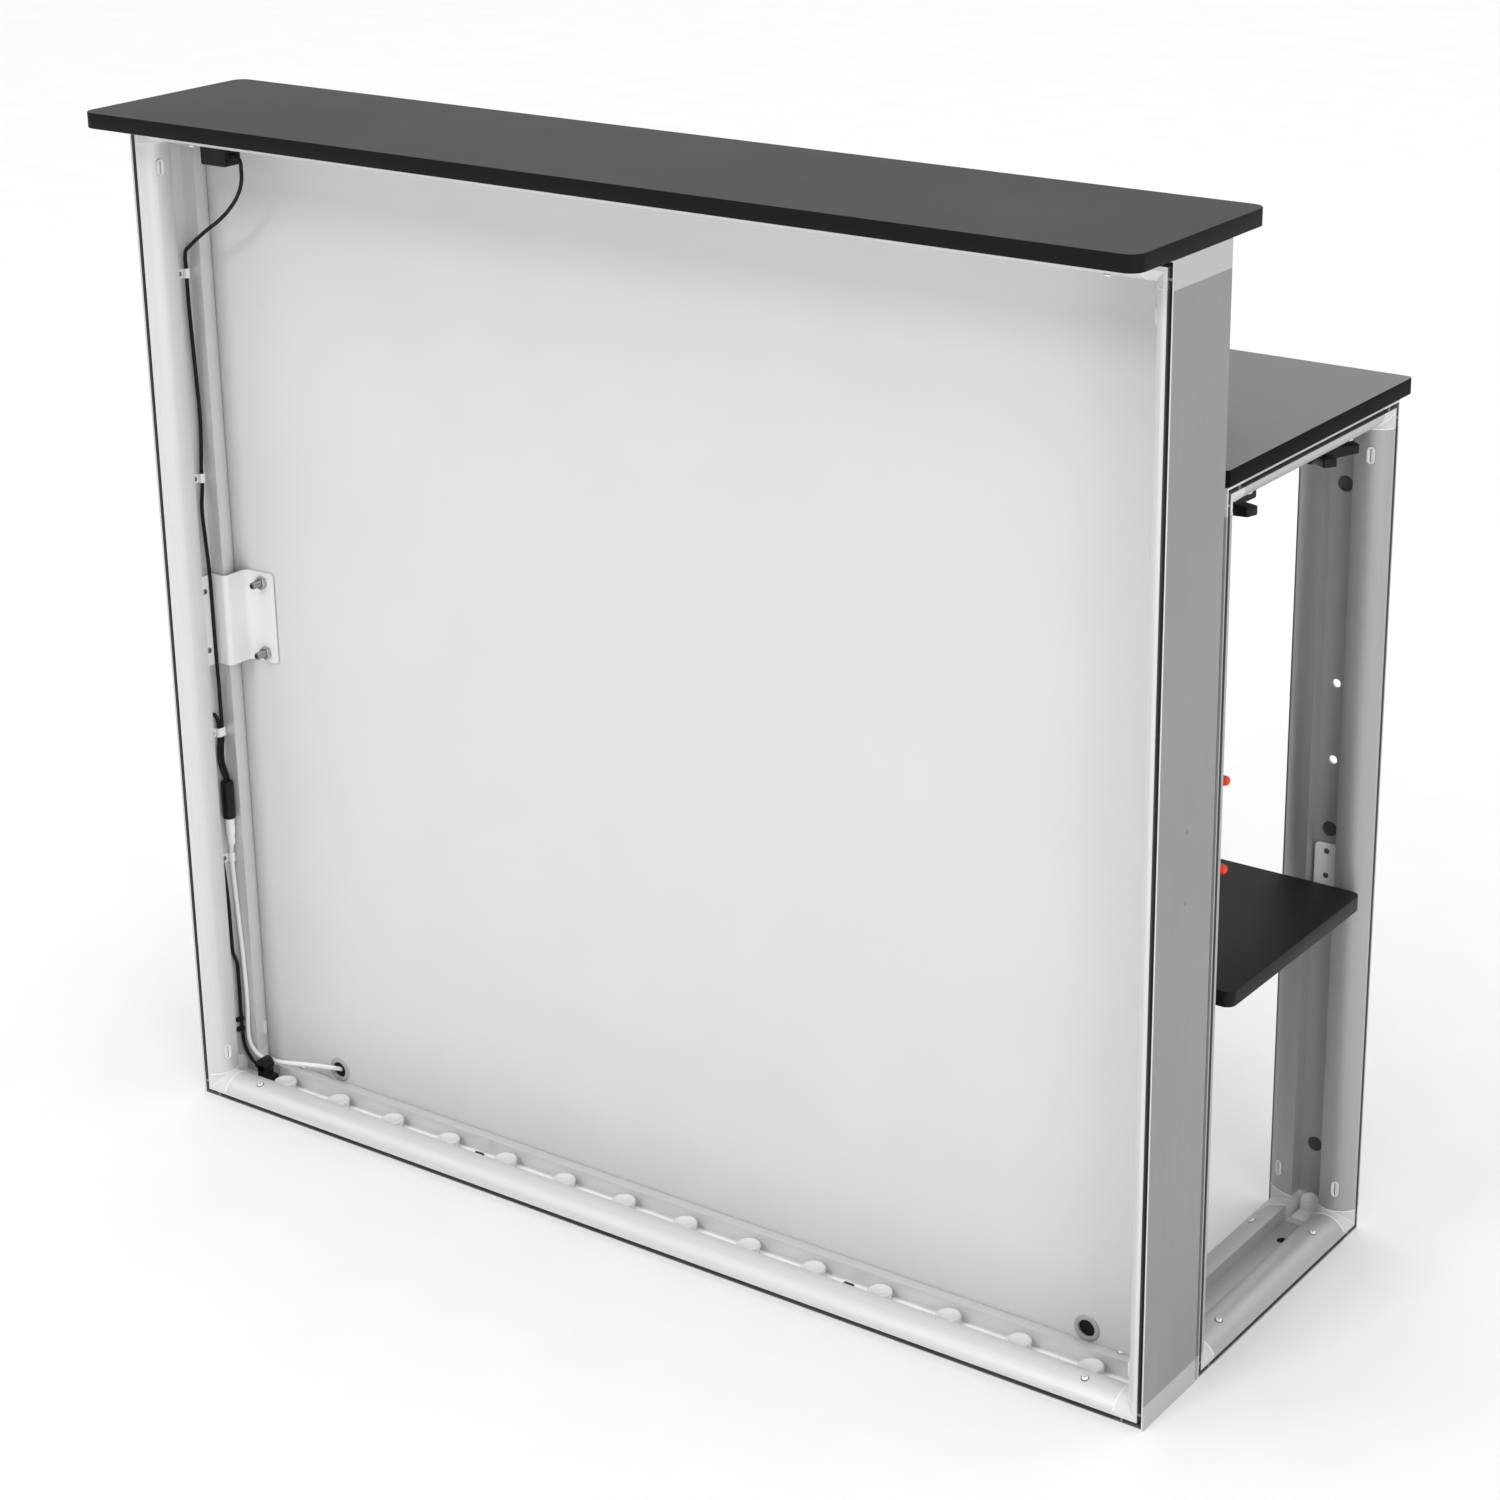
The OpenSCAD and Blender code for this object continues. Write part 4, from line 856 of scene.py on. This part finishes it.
def make_boards():
    for name, low, high, corner, finish in (
            ("ledge", (-HALF_W, -62.5, FRAME_H), (HALF_W, 162.5, FRAME_H + BOARD_T), 14.0, LEDGE_TOP),
            ("worktop", (-HALF_W, 104.7, SIDE_H), (HALF_W, 475.0, SIDE_H + BOARD_T), 6.0, WORKTOP_TOP),
            ("shelf", (-HALF_W, 147.0, SHELF_Z), (HALF_W, 417.0, SHELF_Z + BOARD_T), 10.0, SHELF_TOP)):
        finish_piece(name + "_board", round_plate(low, high, corner, 0.7, 8, 3), finish, name)


# Light rows

def lens():
    """A wide lens on its foot ring, with a rounded rim and a shallow dish."""
    outline = [(0.0, 0.0), (12.0, 0.0), (12.0, 0.9), (11.2, 1.3), (12.7, 7.4), (13.0, 8.4), (12.8, 9.6),
               (12.1, 10.7), (11.2, 11.3), (10.4, 11.35), (9.6, 11.0), (8.0, 10.2), (5.0, 9.5), (2.0, 9.3),
               (0.0, 9.28)]
    return turned(outline, 40)


def board_link():
    """A small black link that carries the current over a joint of two boards."""
    shape = block((-5.5, 1.5, 0.0), (5.5, 6.0, 3.2), 0.5)
    for x in (-4.0, -1.4, 1.4, 4.0):
        put_in(shape, block((x - 0.5, 5.6, 0.3), (x + 0.5, 7.4, 0.9), 0.1, 1))
    return shape


def make_light_rows():
    lower = [shift(LENS_FIRST + count * LENS_PITCH, MIDDLE, BOARD_TOP) for count in range(LENS_COUNT)]
    upper = [top_side(FRAME_H) @ place_of_lens for place_of_lens in lower[1:]]
    finish_piece("lower_lenses", several(lens, lower), LENS_CLEAR, "led_lenses_lower")
    finish_piece("upper_lenses", several(lens, upper), LENS_CLEAR, "led_lenses_upper")
    joints = [shift(x, MIDDLE, BOARD_TOP) for x in (BOARD_JOINTS[1], BOARD_JOINTS[3])]
    finish_piece("board_links", several(board_link, joints), BLACK, "lead_connectors", hides=False)
    finish_piece("upper_board_links", several(board_link, [top_side(FRAME_H) @ joint for joint in joints]),
                 BLACK, "lead_connectors", hides=False)


# Knobs

def link_knob():
    """Four round arms on a boss with a dished cap, over a hub that bears on the upright."""
    shape = turned([(0.0, 0.0), (8.6, 0.0), (9.0, 0.5), (11.8, 33.0), (12.0, 35.0), (12.0, 48.6),
                    (11.6, 50.2), (10.4, 51.0), (8.6, 51.0), (8.0, 50.2), (7.4, 49.2), (0.0, 48.9)], 48)
    arm = [(0.0, 6.0), (7.5, 6.0), (7.5, 8.5), (4.9, 32.6), (4.6, 34.6), (4.1, 36.4), (3.2, 37.6),
           (1.8, 38.3), (0.0, 38.5)]
    for angle in (0.0, 90.0, 180.0, 270.0):
        put_in(shape, turned(arm, 28), turn(angle, "Z") @ shift(0.0, 0.0, 42.5) @ turn(90.0, "Y"))
    return shape


def worktop_knob():
    """Four flat arms that thin towards their tips, on a round turned hub."""
    shape = turned([(0.0, 0.0), (9.4, 0.0), (10.0, 0.6), (10.0, 30.0), (13.4, 31.0), (14.0, 31.6),
                    (14.0, 44.2), (13.2, 45.0), (0.0, 45.0)], 48)
    for angle in (0.0, 90.0, 180.0, 270.0):
        arm = block((4.0, -7.0, 31.0), (44.0, 7.0, 45.0))
        for vert in arm.verts:
            if vert.co.x > 40.0 and vert.co.z > 40.0:
                vert.co.z = 39.5
        tip = [edge for edge in upright_edges(arm) if edge.verts[0].co.x > 40.0]
        soften(arm, 2.6, 4, edges=tip)
        soften(arm, 1.1, 3, sharper_than=50.0)
        put_in(shape, arm, turn(angle, "Z"))
    return shape


def make_knobs():
    """The knobs, with the turn in degrees of the upper, lower, front and rear one on each side."""
    for side, mirror, turns in (("right", Matrix(), (-8.0, 3.0, 16.5, 42.0)),
                                ("left", MIRROR_X, (20.0, 35.0, 30.0, 5.0))):
        for level, height, angle in (("upper", STUD_OFF, turns[0]), ("lower", -STUD_OFF, turns[1])):
            node = "link_knob_%s_%s" % (side, level)
            at = (mirror @ shift(STUD_X, SIDE_Y + KNOB_SEAT, LINK_Z + height)
                  @ turn(-90.0, "X") @ turn(angle, "Z"))
            finish_piece(node + "_moulding", several(link_knob, [at]), ORANGE, node, node + "_body")
        for row, depth, angle in (("front", -TOP_KNOB_OFF, turns[2]), ("rear", TOP_KNOB_OFF, turns[3])):
            node = "worktop_knob_%s_%s" % (side, row)
            at = (mirror @ shift(STUD_X, SIDE_Y + SIDE_D / 2 + depth, SIDE_H - KNOB_SEAT)
                  @ turn(180.0, "X") @ turn(angle, "Z"))
            finish_piece(node + "_moulding", several(worktop_knob, [at]), BLACK, node, node + "_body")
            stud = several(lambda: threaded_rod(TOP_STUD_L), [at @ shift(0.0, 0.0, -TOP_STUD_L)])
            finish_piece(node + "_stud", stud, ZINC, node, node + "_body", hides=False)


# Routes of the leads, in millimetres from the show face
UPPER_ROUTE = (
    (-507, 50, 1062), (-502, 50, 1062), (-497.5, 50.5, 1058), (-497, 51, 1050),
    (-499, 52, 1036), (-506, 53, 1022), (-519, 54, 1007), (-537, 55, 992),
    (-557, 56, 979), (-573, 57, 968), (-585, 58, 959), (-592, 58, 953), (-593.5, 58, 947),
    (-593.5, 58, 935), (-593.5, 58, 900), (-593.5, 59, 860), (-593.5, 61, 810),
    (-593.5, 62, 770), (-593.5, 60, 735), (-593.5, 58, 712), (-593.5, 58, 699),
    (-593.5, 55, 675), (-593, 56, 640), (-592, 57.5, 600), (-592, 58, 545),
    (-592, 58.5, 490), (-593, 60, 465), (-593.5, 60.5, 442), (-593.5, 60.5, 424),
    (-593.5, 60.5, 410), (-593.5, 58.5, 398), (-593, 57.5, 384), (-591.5, 59, 371),
    (-590.5, 60.5, 364), (-590.5, 60.5, 360)
)
LOWER_ROUTE = (
    (-589.5, 55.5, 360), (-589.5, 55.5, 364), (-590.5, 53.5, 371), (-592.5, 52, 384),
    (-593.5, 53.5, 398), (-593.5, 55.8, 410), (-593.5, 55.8, 424), (-593.5, 54.5, 432),
    (-593.5, 51.5, 438), (-593.5, 47, 440.5), (-593.5, 42.5, 438), (-593.5, 39.5, 431),
    (-593.5, 38.5, 420), (-593.5, 38, 380), (-593.5, 39, 340), (-593.5, 43, 290),
    (-593.5, 48, 250), (-593.5, 50.5, 206), (-593.5, 51, 170), (-593.5, 51.5, 155),
    (-593.5, 54, 147), (-593.5, 56.5, 140), (-593.5, 57.2, 122), (-593.5, 57.2, 90),
    (-593.5, 57.2, 60), (-592.5, 57, 46), (-590.5, 57, 36), (-587, 57, 29.5),
    (-582, 55.5, 26.5), (-576.5, 53, 25), (-571.5, 51, 24.5), (-567, 50, 24.5)
)
SUPPLY_ROUTE = (
    (-590.5, 58, 284), (-590.5, 58, 281.5), (-592, 59.3, 277.5), (-593, 60, 273.5),
    (-593, 60, 265), (-592, 60.5, 230), (-591, 61.5, 195), (-589.5, 62, 160),
    (-588, 62, 125), (-587.5, 62, 90), (-588.5, 61.5, 62), (-588, 61, 48),
    (-585, 61, 38), (-577, 61, 30), (-566, 61.5, 26), (-554, 62.5, 26), (-541, 64.5, 27),
    (-527, 68, 28), (-513, 73, 28.5), (-500, 79, 28), (-491, 86, 26), (-486, 93, 23),
    (-484, 99, 20), (-484, 106, 15.5), (-484, 112, 10.5), (-484, 118, 7.8), (-484, 122, 7.5)
)


# Leads and what holds them

def lead(name, route, radius, finish):
    """A lead along its route, one smooth tube."""
    line = bpy.data.curves.new(name, "CURVE")
    line.dimensions = "3D"
    line.bevel_depth = radius * MM
    line.bevel_resolution = 5
    line.resolution_u = 6
    line.use_fill_caps = True
    spline = line.splines.new("BEZIER")
    spline.bezier_points.add(len(route) - 1)
    for point, at in zip(spline.bezier_points, route):
        point.co = place(*at)
        point.handle_left_type = point.handle_right_type = "AUTO"
    line.materials.append(finish)
    piece = bpy.data.objects.new(name + "_sheath", line)
    bpy.context.scene.collection.objects.link(piece)
    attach(piece, COUNTER)
    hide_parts(name)


def make_leads():
    for name, route, radius, finish in (
            ("upper_lead", UPPER_ROUTE, 2.0, RUBBER), ("lower_lead", LOWER_ROUTE, 2.0, RUBBER),
            ("supply_lead", SUPPLY_ROUTE, 2.5, WHITE_SHEATH)):
        lead(name, route, radius, finish)


def strap(bore, wall_shade, apart, length):
    """A loop round a lead, or drawn apart to go round two."""
    outer = bore + wall_shade
    ring = [(bore, 0.2), (bore + 0.2, 0.0), (outer - 0.25, 0.0), (outer, 0.25), (outer, length - 0.25),
            (outer - 0.25, length), (bore + 0.2, length), (bore, length - 0.2)]
    shape = turned(ring, 36, ring=True)
    for vert in shape.verts:
        if vert.co.y > 0.001:
            vert.co.y += apart
    return shape


def make_clips():
    """Clips, each by its lead's radius, its depth, how far it is drawn apart and its height; and ties."""
    clips = bmesh.new()
    heads = bmesh.new()
    for radius, y, apart, z in ((2.0, 58.0, 0.0, 924.0), (2.0, 58.0, 0.0, 701.5),
                                (2.0, 55.8, 4.7, 412.0), (2.5, 60.0, 0.0, 263.0)):
        outer = radius + 1.5
        at = shift(-HALF_W + WEB_T + outer, y, z)
        put_in(clips, strap(radius + 0.3, 1.2, apart, 10.0), at)
        foot = block((-outer, -outer - 9.0, 0.0), (1.4 - outer, 0.0, 10.0), 0.4)
        put_in(clips, foot, at)
        put_in(heads, cross_head(2.6, 1.4), at @ shift(1.4 - outer, -outer - 4.6, 5.0) @ turn(90.0, "Y"))
    finish_piece("lead_clip_straps", clips, WHITE_NYLON, "lead_clips")
    finish_piece("lead_clip_screws", heads, ZINC, "lead_clips", hides=False)
    ties = bmesh.new()
    for z in (56.0, 68.0):
        at = shift(-HALF_W + 6.5, 57.2, z)
        put_in(ties, strap(2.3, 1.0, 0.0, 4.0), at)
        put_in(ties, block((-3.4, -6.4, -0.4), (0.6, -2.6, 4.4), 0.6), at)
        put_in(ties, block((-3.4, -12.0, 0.8), (-2.2, -5.0, 3.2), 0.3), at)
    finish_piece("lead_tie_straps", ties, BLACK, "lead_ties")


def make_splitter():
    at = shift(-HALF_W + 10.3, 58.0, 316.0)
    sleeve = [(0.0, 0.0), (5.8, 0.0), (6.7, 0.5), (7.0, 1.6), (7.0, 13.0), (6.7, 13.4), (6.7, 14.6),
              (7.0, 15.0), (7.0, 40.6), (6.6, 42.6), (5.4, 43.8), (0.0, 44.0)]
    finish_piece("splitter_sleeve", several(lambda: turned(sleeve), [at]), BLACK, "lead_splitter")
    plug = [(0.0, 0.0), (5.0, 0.0), (5.2, -0.4), (5.2, -6.0), (4.9, -6.4), (4.9, -7.6), (5.2, -8.0),
            (5.2, -18.2), (4.6, -19.0), (4.4, -19.6), (4.3, -30.0), (3.4, -31.8), (0.0, -32.0)]
    finish_piece("splitter_plug", several(lambda: turned(plug), [at]), WHITE_SHEATH, "lead_splitter",
                 hides=False)


def make_junction_box_and_feed():
    """The box under the head beam, and the round feed on the foot's boards."""
    x, top = LENS_FIRST, FRAME_H - BOARD_TOP
    shape = block((x - 17.0, 38.0, top - 43.4), (x + 17.0, 62.0, top), 1.8, 3)
    put_in(shape, block((x - 14.0, 37.8, top - 40.0), (x + 14.0, 38.4, top - 22.0), 0.25, 1))
    put_in(shape, turned([(0.0, 0.0), (3.8, 0.0), (3.8, 3.0), (2.9, 6.0), (0.0, 6.0)], 24),
           shift(x + 16.5, MIDDLE, 1062.0) @ turn(90.0, "Y"))
    feed_at = shift(FEED_X, 0.0, BOARD_TOP)
    put_in(shape, turned([(0.0, 0.0), (6.9, 0.0), (7.7, 0.35), (8.0, 1.1), (8.0, 12.9), (7.7, 13.65),
                          (6.9, 14.0), (0.0, 14.0)], 36), feed_at @ shift(0.0, 57.0, 23.0) @ turn(90.0, "X"))
    put_in(shape, block((-6.0, 43.0, 0.0), (6.0, 57.0, 24.0), 1.0), feed_at)
    put_in(shape, block((0.0, 43.0, 0.0), (13.5, 57.0, 12.0), 1.0), feed_at)
    put_in(shape, block((-13.0, 46.5, 16.4), (0.0, 53.5, 23.4), 0.9), feed_at)
    finish_piece("feed_and_junction_box", shape, BLACK, "lead_connectors")


def make_coupler():
    coupler = [(0.0, 0.0), (4.4, 0.0), (5.0, 0.6), (5.4, 6.0), (6.2, 7.0), (6.2, 9.0), (7.0, 9.8),
               (7.0, 15.4), (6.6, 15.8), (6.6, 16.6), (7.0, 17.0), (7.0, 30.6), (6.4, 31.6), (5.6, 32.0),
               (4.6, 32.0), (4.6, 26.0), (0.0, 26.0)]
    at = shift(-484.0, 122.0, 7.3) @ turn(-90.0, "X")
    finish_piece("lead_coupler", several(lambda: turned(coupler), [at]), WHITE_SHEATH, "supply_coupler")


def make_grommets():
    ring = [(9.0, -1.2), (9.4, -1.7), (12.0, -1.8), (13.4, -1.3), (14.0, -0.5), (14.0, 0.0), (11.0, 0.0),
            (11.0, 3.0), (14.0, 3.0), (14.0, 3.5), (13.4, 4.3), (12.0, 4.8), (9.4, 4.7), (9.0, 4.2)]
    pierced = [(2.7, 1.0), (9.05, 1.1), (9.05, 2.1), (2.7, 2.0)]
    whole = [(0.0, 1.0), (9.05, 1.1), (9.05, 2.1), (0.0, 2.0)]
    for side, mirror, skin in (("left", MIRROR_X, pierced), ("right", Matrix(), whole)):
        at = mirror @ shift(484.0, 97.0, 20.5) @ turn(-90.0, "X")
        finish_piece("grommet_ring_" + side, several(lambda: turned(ring, 44, ring=True), [at]),
                     GROMMET_GREY, "grommet_" + side)
        finish_piece("grommet_skin_" + side, several(lambda: turned(skin, 36, ring=skin is pierced), [at]),
                     RUBBER, "grommet_" + side, hides=False)


# Floor, light and camera

def make_floor():
    mesh = bpy.data.meshes.new("floor")
    shape = bmesh.new()
    bmesh.ops.create_grid(shape, x_segments=1, y_segments=1, size=30.0)
    shape.to_mesh(mesh)
    shape.free()
    floor = bpy.data.objects.new("floor", mesh)
    bpy.context.scene.collection.objects.link(floor)
    mesh.materials.append(moulded("pale floor", grey(0.88), grey(0.90), 0.9, 30.0, 0.0, 0.1))


def make_light(name, at, to, size, power):
    light = bpy.data.lights.new(name, "AREA")
    light.shape = "RECTANGLE"
    light.size, light.size_y = size
    light.energy = power
    lamp = bpy.data.objects.new(name, light)
    lamp.location = at
    lamp.rotation_mode = "QUATERNION"
    lamp.rotation_quaternion = (Vector(to) - Vector(at)).to_track_quat("-Z", "Y")
    bpy.context.scene.collection.objects.link(lamp)


def make_studio():
    world = bpy.data.worlds.new("studio")
    bpy.context.scene.world = world
    world.use_nodes = True
    tree = world.node_tree
    background = tree.nodes["Background"]
    background.inputs["Color"].default_value = (1.0, 1.0, 1.0, 1.0)
    path = tree.nodes.new("ShaderNodeLightPath")
    strength = tree.nodes.new("ShaderNodeMapRange")
    strength.inputs["To Min"].default_value = WORLD_LIGHT
    strength.inputs["To Max"].default_value = WORLD_SEEN
    tree.links.new(path.outputs["Is Camera Ray"], strength.inputs["Value"])
    tree.links.new(strength.outputs["Result"], background.inputs["Strength"])
    make_light("overhead", (0.0, 4.0, 14.0), (0.0, 4.0, 0.0), (40.0, 40.0), 5200.0)
    make_light("front softbox", (-0.5, -5.2, 4.4), (0.1, 0.0, 0.7), (1.2, 1.2), 82.0)
    make_light("side softbox", (4.4, -3.0, 1.5), (0.6, 0.0, 0.5), (1.6, 1.6), 42.0)


def make_camera():
    lens = bpy.data.cameras.new("camera")
    lens.sensor_width = 36.0
    lens.lens = CAMERA_LENS
    lens.shift_x, lens.shift_y = CAMERA_SHIFT
    camera = bpy.data.objects.new("camera", lens)
    at, to = place(*CAMERA_AT), place(*CAMERA_TO)
    camera.location = at
    camera.rotation_mode = "QUATERNION"
    roll = Matrix.Rotation(math.radians(CAMERA_ROLL), 4, (to - at).normalized()).to_quaternion()
    camera.rotation_quaternion = roll @ (to - at).to_track_quat("-Z", "Y")
    bpy.context.scene.collection.objects.link(camera)
    bpy.context.scene.camera = camera


dress_frame()
make_boards()
make_light_rows()
make_frame_details()
make_fixings()
make_link_hardware()
make_knobs()
make_leads()
make_clips()
make_splitter()
make_junction_box_and_feed()
make_coupler()
make_grommets()
make_floor()
make_studio()
make_camera()
bpy.context.scene.view_settings.view_transform = "Standard"
